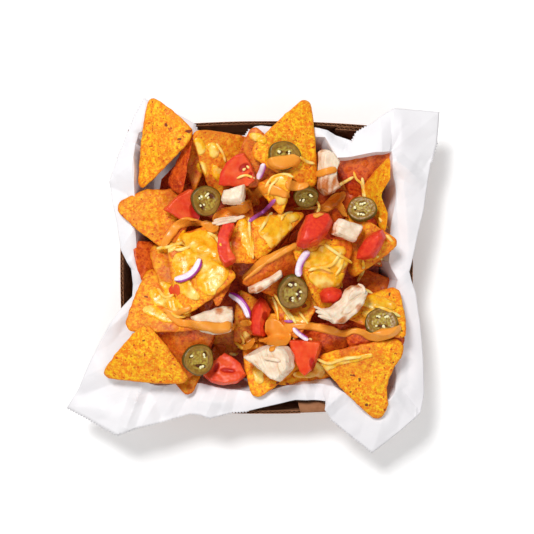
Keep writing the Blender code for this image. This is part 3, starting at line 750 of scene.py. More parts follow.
def smooth_route(stations, step):
    """The stations of a route joined by a flowing curve and filled in every step metres."""
    rows = np.array(stations, float)
    rows = np.vstack((2 * rows[0] - rows[1], rows, 2 * rows[-1] - rows[-2]))
    filled = []
    for a, b, c, d in zip(rows, rows[1:], rows[2:], rows[3:]):
        count = max(2, round(np.linalg.norm((c - b)[:2]) * MM / step))
        for k in range(count):
            t = k / count
            filled.append(0.5 * (2 * b + (c - a) * t + (2 * a - 5 * b + 4 * c - d) * t ** 2
                                 + (3 * b - a - 3 * c + d) * t ** 3))
    filled.append(rows[-2])
    return np.array(filled)


def draped(field, stations, thickness, seed, across=12, step=0.0008, uneven=0.25, sink=0.0006):
    """A closed strip poured over the pile along stations of x, y and width in millimetres."""
    route = smooth_route(stations, step)
    xy, width = route[:, :2] * MM, np.maximum(route[:, 2], 0.5) * MM
    tangent = np.gradient(xy, axis=0)
    tangent /= np.linalg.norm(tangent, axis=1)[:, None] + 1e-12
    side = np.column_stack((-tangent[:, 1], tangent[:, 0]))
    run = np.concatenate(([0], np.cumsum(np.linalg.norm(np.diff(xy, axis=0), axis=1))))
    ends = np.minimum(run, run[-1] - run)
    taper = np.sqrt(np.clip(ends / (width * 0.5), 0.0, 1.0) * (2 - np.clip(ends / (width * 0.5), 0.0, 1.0)))
    taper = np.maximum(taper, 0.12)
    rings = []
    for n, (at, way, wide, share) in enumerate(zip(xy, side, width, taper)):
        ring_top, ring_bottom = [], []
        for k in range(across + 1):
            u = -1 + 2 * k / across
            wavy = 1 + uneven * noise.noise(Vector((run[n] * 130, math.copysign(3, u), seed * 7.7)))
            spot = at + way * (u * wide / 2 * share * wavy)
            ground = float(height_at(field, spot[0], spot[1]))
            swell = 1 + 0.25 * noise.noise(Vector((spot[0] * 160, spot[1] * 160, seed)))
            bulge = thickness * swell * math.sqrt(max(0.0, 1 - u ** 4)) * (0.35 + 0.65 * share)
            ring_top.append((spot[0], spot[1], ground + bulge))
            ring_bottom.append((spot[0], spot[1], ground - sink - 0.00005 * (k % 2)))
        rings.append(ring_top + ring_bottom[::-1])
    return loft(rings)


def softened(mesh, voxel, rounds):
    """Closed shells fused into one fine skin with rounded edges: its points, normals and faces."""
    source = bpy.data.objects.new("soft", mesh)
    bpy.context.scene.collection.objects.link(source)
    even = source.modifiers.new("Even", "REMESH")
    even.mode = "VOXEL"
    even.voxel_size = voxel
    soft = source.modifiers.new("Soft", "SMOOTH")
    soft.factor = 0.5
    soft.iterations = rounds
    made = bpy.data.meshes.new_from_object(source.evaluated_get(bpy.context.evaluated_depsgraph_get()))
    points = np.array([v.co for v in made.vertices])
    normals = np.array([v.vector for v in made.vertex_normals])
    faces = [tuple(p.vertices) for p in made.polygons]
    bpy.data.objects.remove(source)
    for used in (made, mesh):
        bpy.data.meshes.remove(used)
    return points, normals, faces


def melted_together(joined, voxel, rounds):
    """Overlapping closed strips fused into one soft skin: its points and faces."""
    mesh = bpy.data.meshes.new("strips")
    mesh.from_pydata([tuple(p) for p in joined.points], [], joined.faces)
    points, _, faces = softened(mesh, voxel, rounds)
    return points, faces


heights = pile_heights()


# ---------------------------------------------------------------------------------------
# Melted cheese. Grated cheese scattered over the chips and melted under a grill: flat
# yellow pools with paler, thicker places, and shreds that kept some of their shape.
# ---------------------------------------------------------------------------------------

# Pools of cheese: stations of x, y and width in millimetres.
CHEESE_POOLS = (
    ((-62, 17, 8), (-52, 17, 22), (-44, 10, 26), (-38, 2, 20), (-34, -6, 9)),
    ((-60, 10, 8), (-58, 0, 10), (-56, -10, 10), (-50, -18, 8), (-44, -20, 4)),
    ((-34, 27, 5), (-38, 20, 10), (-36, 8, 12), (-32, -4, 13), (-36, -16, 7)),
    ((-46, -6, 8), (-40, -12, 12), (-34, -18, 6)), ((-30, 26, 4), (-26, 14, 5), (-24, 2, 6)),
    ((-80, -16, 5), (-74, -20, 9), (-66, -24, 11), (-58, -28, 9), (-50, -32, 4)),
    ((-72, -10, 4), (-66, -14, 7), (-62, -18, 4)),
    ((-84, -28, 4), (-76, -30, 8), (-68, -34, 6), (-62, -36, 3)),
    ((-72, 14, 4), (-66, 13, 7), (-60, 15, 5)), ((-6, 26, 6), (6, 23, 16), (18, 21, 15), (25, 25, 8)),
    ((-10, 31, 4), (2, 31, 9), (14, 34, 9), (23, 35, 5)),
    ((-18, 36, 4), (-15, 24, 8), (-11, 12, 7), (-9, 6, 3)),
    ((-48, 88, 6), (-45, 82, 8), (-46, 76, 5)), ((-40, 84, 6), (-36, 80, 8), (-36, 74, 5)),
    ((-48, 72, 4), (-44, 68, 7), (-42, 62, 4)), ((-36, 70, 4), (-33, 64, 7), (-30, 58, 4)),
    ((22, 3, 7), (34, 4, 15), (46, 2, 14), (55, 5, 6)), ((28, -5, 5), (38, -9, 12), (48, -8, 9), (54, -4, 4)),
    ((34, 12, 4), (44, 11, 8), (54, 11, 5)), ((1, 60, 5), (8, 58, 11), (10, 50, 11), (9, 42, 6)),
    ((-3, 50, 3), (4, 52, 7), (14, 56, 6)), ((36, -68, 5), (46, -65, 7), (58, -62, 5), (72, -59, 3)),
    ((33, -66, 6), (37, -70, 9), (37, -77, 5)), ((58, -20, 4), (70, -23, 11), (80, -25, 9), (88, -27, 4)),
    ((64, -30, 4), (72, -33, 6), (80, -31, 4)), ((-29, -55, 5), (-34, -60, 9), (-31, -66, 5)),
    ((12, -32, 5), (21, -37, 9), (30, -36, 5)), ((-12, 90, 4), (-6, 88, 7), (0, 84, 5)),
    ((0, -66, 4), (-6, -72, 8), (-4, -80, 5)), ((-16, -44, 3), (-12, -50, 6), (-6, -56, 4)),
    ((18, -74, 3), (26, -74, 6), (36, -74, 4)),
)

melted, nodes, surface = shader(
    "melted cheese", 0.25, Specular_IOR_Level=0.5,
    Subsurface_Weight=0.15, Subsurface_Scale=0.002, Subsurface_Radius=(1.0, 0.6, 0.2))
where = place(nodes)
pools = noise_of(melted, where, 85, 3, 0.6)
grease = noise_of(melted, where, 260, 4, 0.65)
cheese_colour = mixed(melted, ramp(melted, grease, (0.35, 0.0), (0.65, 1.0)),
                      srgb(248, 162, 10), srgb(254, 200, 34))
cheese_colour = mixed(melted, ramp(melted, pools, (0.50, 0.0), (0.64, 0.85)),
                      cheese_colour, srgb(254, 226, 126))
cheese_colour = mixed(melted, ramp(melted, pools, (0.26, 0.8), (0.38, 0.0)),
                      cheese_colour, srgb(240, 122, 16))
# Painted shade: cheese lying low in the pile is painted a darker orange.
cheese_colour = mixed(melted, painted(melted, "deep"), cheese_colour, srgb(232, 108, 20))
feed(melted, surface, Base_Color=cheese_colour, Roughness=ramp(melted, grease, (0.3, 0.14), (0.7, 0.42)))
bumped(melted, surface, grease, 0.4, 0.0007)

soft_chips = np.maximum(evened(heights, 1), heights)
pool = Joined()
for number, stations in enumerate(CHEESE_POOLS):
    pool.add(*draped(soft_chips, stations, 0.0013, number + 60, uneven=0.5))
points, faces = melted_together(pool, 0.0006, 3)
# The lower the cheese lies, the more painted shade it is given.
food.append(add_piece("melted_cheese", points, faces, melted, smooth=180,
                      values={"deep": np.clip((0.044 - points[:, 2]) / 0.014, 0, 1)}))


# ---------------------------------------------------------------------------------------
# Tomato. Wedges and slices of ripe tomato, cut with a knife: thin glossy skin, firm flesh
# and, where the knife went through a chamber, a hollow with darker jelly and pale seeds.
# ---------------------------------------------------------------------------------------

def noise_at(points, scale, shift=0.0, stretch=(1, 1, 1)):
    """Smooth noise from -1 to 1 at every point; scale is in waves for each metre."""
    spread = points * scale * np.array(stretch)
    return np.array([noise.noise(Vector(p) + Vector((shift, 2 * shift, -shift))) for p in spread])


def bowl(points, x, y, across, along, turn=0.0):
    """1 in the middle of an ellipse seen from above, falling to 0 at its edge; millimetres."""
    angle = math.radians(turn)
    u = (points[:, 0] / MM - x) * math.cos(angle) + (points[:, 1] / MM - y) * math.sin(angle)
    v = (points[:, 1] / MM - y) * math.cos(angle) - (points[:, 0] / MM - x) * math.sin(angle)
    return np.clip(1 - (u / across) ** 2 - (v / along) ** 2, 0, 1)


def seed_shell(at, length, width, heading, tilt=0.0):
    """A small pointed grain, eight sides round."""
    turn = Matrix.Translation(at) @ Matrix.Rotation(heading, 4, "Z") @ Matrix.Rotation(tilt, 4, "Y")
    rings = []
    for k in range(7):
        share = -1 + 2 * (k + 0.15) / 6.3
        radius = width / 2 * math.sqrt(max(0.02, 1 - share * share)) * (1 - 0.25 * share)
        rings.append([
            tuple(turn @ Vector((share * length / 2, radius * math.cos(a), 0.6 * radius * math.sin(a))))
            for a in (2 * math.pi * n / 8 for n in range(8))])
    return loft(rings)


# Where each piece has its skin (outside a circle: x, y, radius, in millimetres; none at all
# where the radius is over 100) and its hollows (x, y, half-widths, turn).
TOMATO_CUTS = {
    "tomato_quarter_back": ((-10.5, 57.5, 19.3), [(-15, 67, 4.2, 2.8, 35), (-11, 62, 2.6, 1.6, 70)]),
    "tomato_wedge_left": ((0, 0, 999), [(-48, 38, 4, 7, 10)]),
    "tomato_crescent_middle": ((-14, 12, 12.5), [(-22.5, 20, 1.8, 6, 0)]),
    "tomato_skin_middle": ((0, 0, 0), []),
    "tomato_skin_right": ((0, 0, 0), []),
    "tomato_under_chicken": ((0, 0, 0), []),
    "tomato_crescent_front": ((9, -33, 13.5), [(-1, -33, 2.2, 3.5, 0), (0, -41, 2.4, 2.2, 0)]),
    "tomato_half_front": ((-29, -62, 18.6), [(-34.5, -68.5, 1.8, 3.4, -25), (-26.5, -70.5, 5.4, 1.6, -5)]),
    "tomato_wedge_front": ((0, 0, 999), [(31, -65, 2.2, 4.5, 10)]),
}
ripe, nodes, surface = shader(
    "ripe tomato", 0.36, Specular_IOR_Level=0.28,
    Subsurface_Weight=0.12, Subsurface_Scale=0.002, Subsurface_Radius=(1.0, 0.25, 0.12))
where = place(nodes)
skin = painted(ripe, "skin")
hollow = painted(ripe, "hollow")
flecks = noise_of(ripe, where, 420, 3, 0.6)
veins = noise_of(ripe, where, 120, 3, 0.6)
flesh = mixed(ripe, ramp(ripe, veins, (0.35, 0.0), (0.68, 1.0)), srgb(226, 60, 24), srgb(240, 98, 46))
flesh = mixed(ripe, hollow, flesh, srgb(184, 30, 20))
outer = mixed(ripe, ramp(ripe, flecks, (0.35, 0.0), (0.7, 1.0)), srgb(218, 44, 30), srgb(238, 74, 36))
tomato_colour = mixed(ripe, skin, flesh, outer)
feed(ripe, surface, Base_Color=tomato_colour)
bumped(ripe, surface, flecks, 0.12, 0.0004)

for number, (name, (arc, hollows)) in enumerate(TOMATO_CUTS.items()):
    points, normals, faces = softened(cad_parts[name].data.copy(), 0.0006, 5)
    away = np.hypot(points[:, 0] / MM - arc[0], points[:, 1] / MM - arc[1]) - arc[2]
    skin_share = np.clip(away / 0.8 + 0.5, 0, 1)
    depth = np.zeros(len(points))
    for pocket in hollows:
        depth = np.maximum(depth, bowl(points, *pocket) ** 0.5)
    depth *= normals[:, 2] > 0.2
    uneven = noise_at(points, 160, number) * 0.0006 + noise_at(points, 420, number) * 0.00022
    points = points + normals * (uneven * (1 - 0.6 * skin_share))[:, None]
    points[:, 2] -= depth * 0.0013
    if arc[2] == 0:
        middle = points[:, :2].mean(axis=0)
        reach = np.abs(points[:, :2] - middle).max()
        points[:, 2] += 0.0022 * np.clip(1 - ((points[:, :2] - middle) ** 2).sum(axis=1) / reach ** 2, 0, 1)
    food.append(add_piece(
        name.replace("tomato_", "ripe_tomato_"), points, faces, ripe, [name], smooth=180,
        values={"skin": skin_share, "hollow": np.clip(depth * 1.4, 0, 1) * (1 - skin_share)}))


# ---------------------------------------------------------------------------------------
# Onion. Strips of red onion cut across the bulb: white, juicy layers with a thin purple
# skin along their outer side.
# ---------------------------------------------------------------------------------------

ONION_ARCS = {"onion_strip_left": (-60, 7.5, 15.8), "onion_strip_middle": (-32, -38, 20.7)}

crisp, nodes, surface = shader(
    "red onion", 0.3, Specular_IOR_Level=0.45, Subsurface_Weight=0.15, Subsurface_Scale=0.0015)
where = place(nodes)
streaks = noise_of(crisp, where, 500, 3, 0.5)
white_layer = mixed(crisp, ramp(crisp, streaks, (0.3, 0.0), (0.7, 1.0)),
                    srgb(236, 214, 232), srgb(250, 240, 246))
onion_colour = mixed(crisp, painted(crisp, "purple"), white_layer, srgb(172, 44, 158))
feed(crisp, surface, Base_Color=onion_colour)
bumped(crisp, surface, streaks, 0.1, 0.0003)

for name, (x, y, radius) in ONION_ARCS.items():
    points, normals, faces = softened(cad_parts[name].data.copy(), 0.00035, 3)
    across = np.hypot(points[:, 0] / MM - x, points[:, 1] / MM - y) - radius
    rib = 0.00012 * np.cos(across * 3.2)
    points[:, 2] += rib * (normals[:, 2] > 0.3)
    food.append(add_piece(
        name.replace("onion_", "red_onion_"), points, faces, crisp, [name], smooth=180,
        values={"purple": np.clip((across - 0.25) / 0.5, 0, 1)}))


# ---------------------------------------------------------------------------------------
# Chicken. Cooked breast pulled and cut into chunks: pale meat whose fibres run one way,
# frayed where it was torn and browned where it touched the pan.
# ---------------------------------------------------------------------------------------

# Each piece: the heading of its fibres in degrees, and its browned places (x, y, radius).
CHICKEN_GRAIN = {
    "chicken_cube_back": (95, [(-13, 43, 4), (-12, 50, 3)]),
    "chicken_strip_back": (80, [(40, 53, 9), (33, 60, 3), (33, 74, 3.5), (48, 57, 5), (37, 81, 3)]),
    "chicken_block_right": (160, [(42, 24, 4), (45, 20, 3)]),
    "chicken_sliver_middle": (25, [(-10, -16, 3.5), (-4, -15, 3), (4, -10, 2.5)]),
    "chicken_curved_right": (40, [(54, -13, 4), (60, -12, 3.5), (50, -36, 4), (62, -27, 3)]),
    "chicken_strip_front": (15, [(-32, -29, 3), (-24, -27, 2.5)]),
    "chicken_lump_front": (115, [(20, -57, 3.5), (17, -72, 3.5), (21, -64, 2.5), (13, -76, 2.5)]),
}

cooked, nodes, surface = shader(
    "cooked chicken", 0.48, Specular_IOR_Level=0.35, Subsurface_Weight=0.15, Subsurface_Scale=0.002)
where = place(nodes)
meat = mixed(cooked, ramp(cooked, noise_of(cooked, where, 240, 4, 0.6), (0.35, 0.0), (0.65, 1.0)),
             srgb(240, 210, 178), srgb(252, 236, 212))
# Painted shade: the clefts and the grooves between fibres are painted a darker tan.
meat = mixed(cooked, painted(cooked, "groove"), meat, srgb(222, 178, 132))
meat = mixed(cooked, painted(cooked, "browned"), meat, srgb(196, 112, 52))
feed(cooked, surface, Base_Color=meat)
bumped(cooked, surface, noise_of(cooked, where, 900, 3, 0.6), 0.2, 0.0003)

for number, (name, (heading, browned)) in enumerate(CHICKEN_GRAIN.items()):
    points, normals, faces = softened(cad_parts[name].data.copy(), 0.00056, 4)
    angle = math.radians(heading)
    along = points[:, 0] * math.cos(angle) + points[:, 1] * math.sin(angle)
    across = points[:, 1] * math.cos(angle) - points[:, 0] * math.sin(angle)
    bent = np.column_stack((along * 0.16, across, points[:, 2] * 0.8))
    grain = noise_at(bent, 900, number * 3.7)
    clefts = np.abs(noise_at(bent, 260, number * 5.1 + 3))
    cleft = np.clip(1 - clefts / 0.07, 0, 1) * np.clip(0.5 + 2 * noise_at(points, 90, number), 0, 1)
    lumps = noise_at(points, 120, number + 9.5)
    points = points + normals * (0.00022 * grain + 0.0012 * lumps - 0.0006 * cleft)[:, None]
    brown = np.zeros(len(points))
    for x, y, radius in browned:
        brown = np.maximum(brown, bowl(points, x, y, radius * 1.25, radius * 1.25))
    patchy = 0.75 * noise_at(bent, 420, 3.3) + 0.35 * noise_at(points, 1100, 5.1)
    brown = np.clip(brown * 1.1 + patchy - 0.25, 0, 1) * np.clip(brown * 4, 0, 1)
    # The groove values are painted shade in the clefts and between the fibres.
    food.append(add_piece(
        name.replace("chicken_", "pulled_chicken_"), points, faces, cooked, [name], smooth=180,
        values={"browned": brown, "groove": np.clip(cleft * 0.8 + 0.25 * np.clip(-grain, 0, 1), 0, 1)}))


# ---------------------------------------------------------------------------------------
# Pickled peppers. Slices across a green pepper kept in vinegar: a dark glossy skin, a ring
# of olive flesh, and in the middle pale ribs with seeds hanging in wet hollows painted dark as shade.
# ---------------------------------------------------------------------------------------

PEPPER_SPOKES = 80
PEPPER_RINGS = 26

# Hollows in each slice: where they lie (share of its half-widths), their half-widths, turn.
PEPPER_HOLLOWS = {
    "pepper_ring_left": [
        (0.30, 0.34, 0.42, 0.22, -42), (-0.30, -0.36, 0.34, 0.16, -50), (-0.42, 0.20, 0.12, 0.18, 0)],
    "pepper_ring_back": [
        (-0.28, 0.18, 0.20, 0.14, 20), (0.26, 0.20, 0.20, 0.14, -20), (0.0, -0.36, 0.30, 0.15, 0)],
    "pepper_ring_right": [
        (0.06, 0.42, 0.30, 0.20, 0), (-0.02, -0.42, 0.32, 0.20, 0), (-0.45, 0.04, 0.12, 0.24, 0)],
    "pepper_ring_middle": [
        (-0.10, 0.46, 0.40, 0.24, 10), (0.38, -0.10, 0.18, 0.42, -8), (-0.10, -0.40, 0.22, 0.20, 30)],
    "pepper_ring_front_right": [
        (-0.20, 0.34, 0.16, 0.12, 0), (0.26, 0.34, 0.14, 0.12, 0), (0.0, -0.30, 0.40, 0.14, 0)],
    "pepper_ring_front_left": [
        (-0.48, 0.22, 0.17, 0.14, 30), (0.10, -0.40, 0.46, 0.15, -6), (0.40, 0.30, 0.16, 0.22, 0)],
    "pepper_ring_dark": [(0.30, 0.25, 0.25, 0.20, 0), (-0.30, -0.25, 0.28, 0.20, 0)],
}

brined, nodes, surface = shader(
    "pickled pepper", 0.36, Specular_IOR_Level=0.4, Subsurface_Weight=0.12, Subsurface_Scale=0.0015)
where = place(nodes)
cells = noise_of(brined, where, 330, 3, 0.6)
pepper_colour = mixed(brined, ramp(brined, cells, (0.35, 0.0), (0.7, 1.0)),
                      srgb(134, 92, 20), srgb(164, 122, 38))
pepper_colour = mixed(brined, painted(brined, "rib"), pepper_colour, srgb(184, 160, 62))
# Painted shade: the hollows and a thin ring at the step inside the flesh are painted dark brown.
pepper_colour = mixed(brined, painted(brined, "hollow"), pepper_colour, srgb(96, 40, 14))
pepper_colour = mixed(brined, painted(brined, "skin"), pepper_colour, srgb(94, 76, 16))
feed(brined, surface, Base_Color=pepper_colour)
bumped(brined, surface, cells, 0.05, 0.0003)

pepper_seeds = Joined()
for number, (name, hollows) in enumerate(PEPPER_HOLLOWS.items()):
    rng = random.Random(number + 40)
    verts = np.array([v.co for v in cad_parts[name].data.vertices])
    low_point, high_point = verts.min(axis=0), verts.max(axis=0)
    centre = (low_point + high_point) / 2
    spread_out = verts - centre
    normal = Vector(np.linalg.svd(spread_out)[2][2])
    normal = normal if normal.z > 0 else -normal
    side = Vector((1, 0, 0)).cross(normal).cross(normal).normalized() * -1
    fore = normal.cross(side)
    half_u = max(abs(spread_out @ np.array(side)))
    half_v = max(abs(spread_out @ np.array(fore)))
    half_t = max(abs(spread_out @ np.array(normal)))
    points, skins, ribs, dents = [], [], [], []
    for face_side in (1, -1):
        for k in range(PEPPER_RINGS):
            share = (k + 1) / PEPPER_RINGS
            for n in range(PEPPER_SPOKES):
                angle = 2 * math.pi * n / PEPPER_SPOKES
                wobble = 1 + 0.03 * math.sin(3 * angle + number) + 0.015 * math.sin(5 * angle + 2 * number)
                u, v = share * math.cos(angle), share * math.sin(angle)
                dent = 0.0
                for x, y, wide, tall, turn in hollows:
                    a = math.radians(turn)
                    p = ((u - x) * math.cos(a) + (v - y) * math.sin(a)) / wide
                    q = ((v - y) * math.cos(a) - (u - x) * math.sin(a)) / tall
                    dent = max(dent, 1 - p * p - q * q)
                dent = min(1.0, max(0.0, dent * 1.3 + 0.35 * noise.noise(Vector((u * 9, v * 9, number)))))
                wall = min(1.0, max(0.0, (share - 0.58) / 0.20))
                edge = max(0.0, (share - 0.90) / 0.10)
                height = 0.80 + 0.20 * wall - 0.30 * edge ** 2 - 0.60 * dent * (face_side > 0)
                spot = Vector((u * 4, v * 4, number * 3.1 + face_side))
                height += 0.05 * noise.noise(spot * 1.6)
                at = Vector(centre) + side * (u * wobble * half_u) + fore * (v * wobble * half_v)
                points.append(tuple(at + normal * (face_side * half_t * height)))
                skins.append(min(1.0, max(0.0, (share - 0.915) / 0.035)))
                ribs.append((1 - wall) * min(1, max(0, 0.55 + 1.6 * noise.noise(spot * 1.7))))
                # Painted shade: a dark line round the step where the flesh falls to the middle.
                crack = math.exp(-((share - 0.66) / 0.018) ** 2) * 0.55
                dents.append(max(dent, crack) * (face_side > 0))
    faces = disc_faces(PEPPER_RINGS, PEPPER_SPOKES)
    faces.append(list(range(PEPPER_SPOKES)))
    lower = PEPPER_RINGS * PEPPER_SPOKES
    faces.append(list(range(lower, lower + PEPPER_SPOKES))[::-1])
    if name == "pepper_ring_dark":
        skins = [min(1.0, s + 0.45) for s in skins]
    food.append(add_piece(
        name.replace("pepper_ring_", "pickled_pepper_"), points, faces, brined, [name],
        smooth=180, values={"skin": skins, "rib": ribs, "hollow": dents}))
    for x, y, wide, tall, turn in hollows:
        for _ in range(2 + round(14 * wide * tall)):
            a = rng.uniform(0, 6.28)
            u = x + wide * 0.85 * math.cos(a) * rng.random() ** 0.5
            v = y + tall * 0.85 * math.sin(a) * rng.random() ** 0.5
            at = Vector(centre) + side * (u * half_u) + fore * (v * half_v)
            at += normal * half_t * rng.uniform(0.55, 0.9)
            size = rng.uniform(0.0018, 0.0026)
            pepper_seeds.add(*seed_shell(at, size, size * 0.75, rng.uniform(0, 6.28), rng.uniform(-0.5, 0.5)))

pale_seed = shader("pepper seed", 0.3, Specular_IOR_Level=0.5, Base_Color=(*srgb(246, 238, 186), 1))[0]
food.append(add_piece(
    "pepper_seeds", pepper_seeds.points, pepper_seeds.faces, pale_seed, smooth=180))


# ---------------------------------------------------------------------------------------
# Cheese sauce. A warm, orange sauce squeezed from a bottle in wavering strokes across the
# top, which settles into round-edged ribbons and hangs a little over the edges it crosses.
# ---------------------------------------------------------------------------------------

SAUCE_STROKES = (
    ((-71, 13, 4), (-68, 19, 6), (-65, 24, 6.5), (-60, 29, 6.5), (-54, 31, 6), (-47, 30.5, 4.5), (-44, 30, 3)),
    ((-45, 30, 4), (-41, 29, 7), (-37, 27, 7), (-32, 28, 4)),
    ((-37, 32, 5), (-31, 36, 8), (-24, 38, 8.5), (-16, 40, 7), (-11, 44, 6.5), (-7, 50, 7), (-1, 53.5, 7.5),
     (6, 52, 7), (12, 49, 6), (16, 48, 4)),
    ((0, 71, 5), (6, 70.5, 8.5), (13, 71, 9), (20, 72.5, 8), (23, 74, 4)),
    ((33, 63, 4), (37, 64, 5), (42, 65, 5.5), (48, 66.5, 4)),
    ((13, 58, 6), (17, 55.5, 8), (22, 54.5, 6), (29, 57, 4)),
    ((31, 33, 3), (35, 37, 6), (41, 41, 8), (47, 46, 8), (52, 49, 7), (54, 53, 3)),
    ((-16, -9, 3), (-13, -5, 5.5), (-7, 0, 6), (0, 5, 6), (8, 9, 5.5), (15, 13, 5), (20, 16, 3)),
    ((-67, -31, 3), (-63, -34, 4.5), (-57, -37, 5.5), (-50, -38, 6), (-44, -38.5, 6.5), (-38, -39.5, 8),
     (-31, -40.5, 9), (-25, -40, 8), (-21, -38.5, 4)), ((-19, -39, 3), (-15, -38.5, 5), (-10, -37.5, 4)),
    ((-70, -28, 3), (-62, -31, 4), (-54, -28, 4), (-50, -26, 2.5)),
    ((0, -36, 6), (4, -40, 13), (8, -45, 16), (12, -49, 14), (14, -52, 6)),
    ((12, -41, 9), (20, -40, 6), (28, -40, 6), (36, -41, 6), (44, -43, 6), (52, -45, 5), (58, -43, 4),
     (64, -44, 5), (70, -46, 6), (78, -45, 8), (86, -42, 7), (90, -39, 4)),
    ((-6, -50, 3), (-1, -50, 4), (4, -52, 5), (2, -56, 3)),
    ((-20, -56, 3), (-12, -54, 4), (-8, -49, 3)),
    ((54, 34, 3), (50, 44, 5), (44, 48, 4)), ((-14, 54, 3), (-9, 48, 5), (-5, 44, 3)),
)

sauce, nodes, surface = shader(
    "cheese sauce", 0.3, Specular_IOR_Level=0.4,
    Subsurface_Weight=0.15, Subsurface_Scale=0.0025, Subsurface_Radius=(1.0, 0.55, 0.25))
where = place(nodes)
sheen = noise_of(sauce, where, 110, 3, 0.5)
spice = noise_of(sauce, where, 800, 2, 0.5)
sauce_colour = mixed(sauce, ramp(sauce, sheen, (0.3, 0.0), (0.7, 1.0)),
                     srgb(240, 144, 36), srgb(249, 168, 62))
sauce_colour = mixed(sauce, ramp(sauce, spice, (0.68, 0.0), (0.74, 0.6)), sauce_colour, srgb(226, 110, 26))
feed(sauce, surface, Base_Color=sauce_colour, Roughness=ramp(sauce, sheen, (0.3, 0.24), (0.7, 0.4)))
bumped(sauce, surface, sheen, 0.1, 0.0005)

heights = pile_heights()
soft_heights = np.maximum(evened(spread_up(heights, 2), 3), heights)
poured = Joined()
for number, stations in enumerate(SAUCE_STROKES):
    poured.add(*draped(soft_heights, stations, 0.0016, number, uneven=0.35, sink=0.0012))
points, faces = melted_together(poured, 0.00056, 4)
food.append(add_piece("cheese_sauce_strokes", points, faces, sauce, smooth=180))


# ---------------------------------------------------------------------------------------
# Shreds. Grated cheese thrown on last, which stayed in thin pale strips. They are stiff
# enough to bridge from one edge to the next.
# ---------------------------------------------------------------------------------------

SHREDS = (
    ((48, 55), (54, 59), (60, 62.5)), ((60, 66), (62, 61), (66, 57), (67, 48)),
    ((66, 62), (67, 55), (68, 48)),
    ((78, 43), (83, 35), (87, 26)), ((76, 34), (79, 30), (84, 27)), ((38, 16), (48, 9), (58, 3)),
    ((65, 5), (66, -2), (64, -10)), ((63, -12), (68, -15), (73, -18)),
    ((-1, 54), (4, 61), (12, 63), (18, 61)),
    ((22, 75), (27, 72), (33, 71)), ((10, 32), (12, 36), (18, 38)), ((19, 41), (28, 41), (38, 42)),
    ((5, -18), (11, -27), (17, -36)), ((4, -20), (7, -28), (8, -36)), ((22, -30), (25, -34), (28, -38)),
    ((12, -28), (16, -32), (20, -38)), ((74, 8), (78, 6), (83, 6)), ((78, 3), (82, 2), (85, -1)),
    ((-18, -47), (-16, -52), (-20, -56)), ((-22, -52), (-18, -55), (-15, -57)),
    ((-26, -60), (-22, -61), (-20, -60)),
    ((-12, 34), (-11, 20), (-9, 6)), ((-75, 13), (-66, 14), (-57, 17)), ((-62, 12), (-58, 12), (-52, 14)),
    ((-5, 24), (0, 32), (4, 38)), ((32, 48), (36, 42), (34, 36)), ((50, 10), (44, 2), (36, 0)),
    ((28, -2), (36, 0), (44, -3)), ((52, 8), (50, 0), (46, -6)), ((-64, -30), (-60, -33), (-54, -33)),
    ((-74, -14), (-68, -20), (-62, -18)), ((-20, 60), (-14, 62), (-8, 60)), ((8, 60), (3, 55), (1, 49)),
    ((80, 22), (84, 18), (86, 12)), ((34, -62), (42, -65), (52, -62), (64, -60)),
    ((72, -26), (80, -28), (90, -33)),
    ((-34, 84), (-30, 78), (-28, 72)), ((46, -6), (50, -10), (52, -14)), ((-40, 24), (-34, 20), (-30, 14)),
)


def stiff_strip(field, stations, width, thickness, seed, sides=10, step=0.0009, lift=0.35):
    """A closed strip that lies on the pile without following its small dips."""
    route = smooth_route([(x, y, 0) for x, y in stations], step)[:, :2] * MM
    ground = height_at(field, route[:, 0], route[:, 1])
    reach = 4
    padded = np.pad(ground, reach, mode="edge")
    nearby = [padded[i:i + 2 * reach + 1] for i in range(len(ground))]
    ground = np.array([cells.max() * 0.6 + cells.mean() * 0.4 for cells in nearby])
    for _ in range(6):
        ground = np.convolve(np.pad(ground, 1, mode="edge"), (0.25, 0.5, 0.25), mode="valid")
    tangent = np.gradient(route, axis=0)
    tangent /= np.linalg.norm(tangent, axis=1)[:, None] + 1e-12
    rings, sided = [], []
    for n, (at, way, z) in enumerate(zip(route, tangent, ground)):
        share = min(1.0, 0.45 + 0.55 * min(n, len(route) - 1 - n) / 2)
        twist = 0.4 * noise.noise(Vector((n * 0.15, seed * 3.3, 0)))
        ring = []
        for k in range(sides):
            a = 2 * math.pi * k / sides + math.pi / sides
            u = math.copysign(abs(math.cos(a)) ** 0.7, math.cos(a)) * width / 2 * share * MM
            w = math.copysign(abs(math.sin(a)) ** 0.7, math.sin(a)) * thickness / 2 * share * MM
            u, w = u * math.cos(twist) - w * math.sin(twist), u * math.sin(twist) + w * math.cos(twist)
            ring.append((at[0] - way[1] * u, at[1] + way[0] * u, z + lift * thickness * MM + w))
            sided.append(u / (width / 2 * MM))
        rings.append(ring)
    return *loft(rings), sided


grated, nodes, surface = shader(
    "grated cheese", 0.38, Specular_IOR_Level=0.4, Subsurface_Weight=0.18, Subsurface_Scale=0.0015)
where = place(nodes)
grated_colour = mixed(grated, ramp(grated, noise_of(grated, where, 140, 2), (0.38, 0.0), (0.62, 1.0)),
                      srgb(252, 186, 40), srgb(250, 228, 140))
feed(grated, surface, Base_Color=grated_colour)

heights = np.maximum(heights, pile_heights())
gentle_heights = evened(heights, 1, 1)
high_heights = evened(spread_up(heights, 2), 1, 1)
shreds = Joined()
for number, stations in enumerate(SHREDS):
    rng = random.Random(number)
    points, faces, _ = stiff_strip(
        gentle_heights, stations, rng.uniform(1.7, 2.3), rng.uniform(1.1, 1.5), number)
    shreds.add(points, faces)
food.append(add_piece("cheese_shreds", shreds.points, shreds.faces, grated, smooth=70))


# ---------------------------------------------------------------------------------------
# Torn chicken. Single fibres that came off when the meat was pulled, lying loose on the pile
# or still hanging from a chunk.
# ---------------------------------------------------------------------------------------

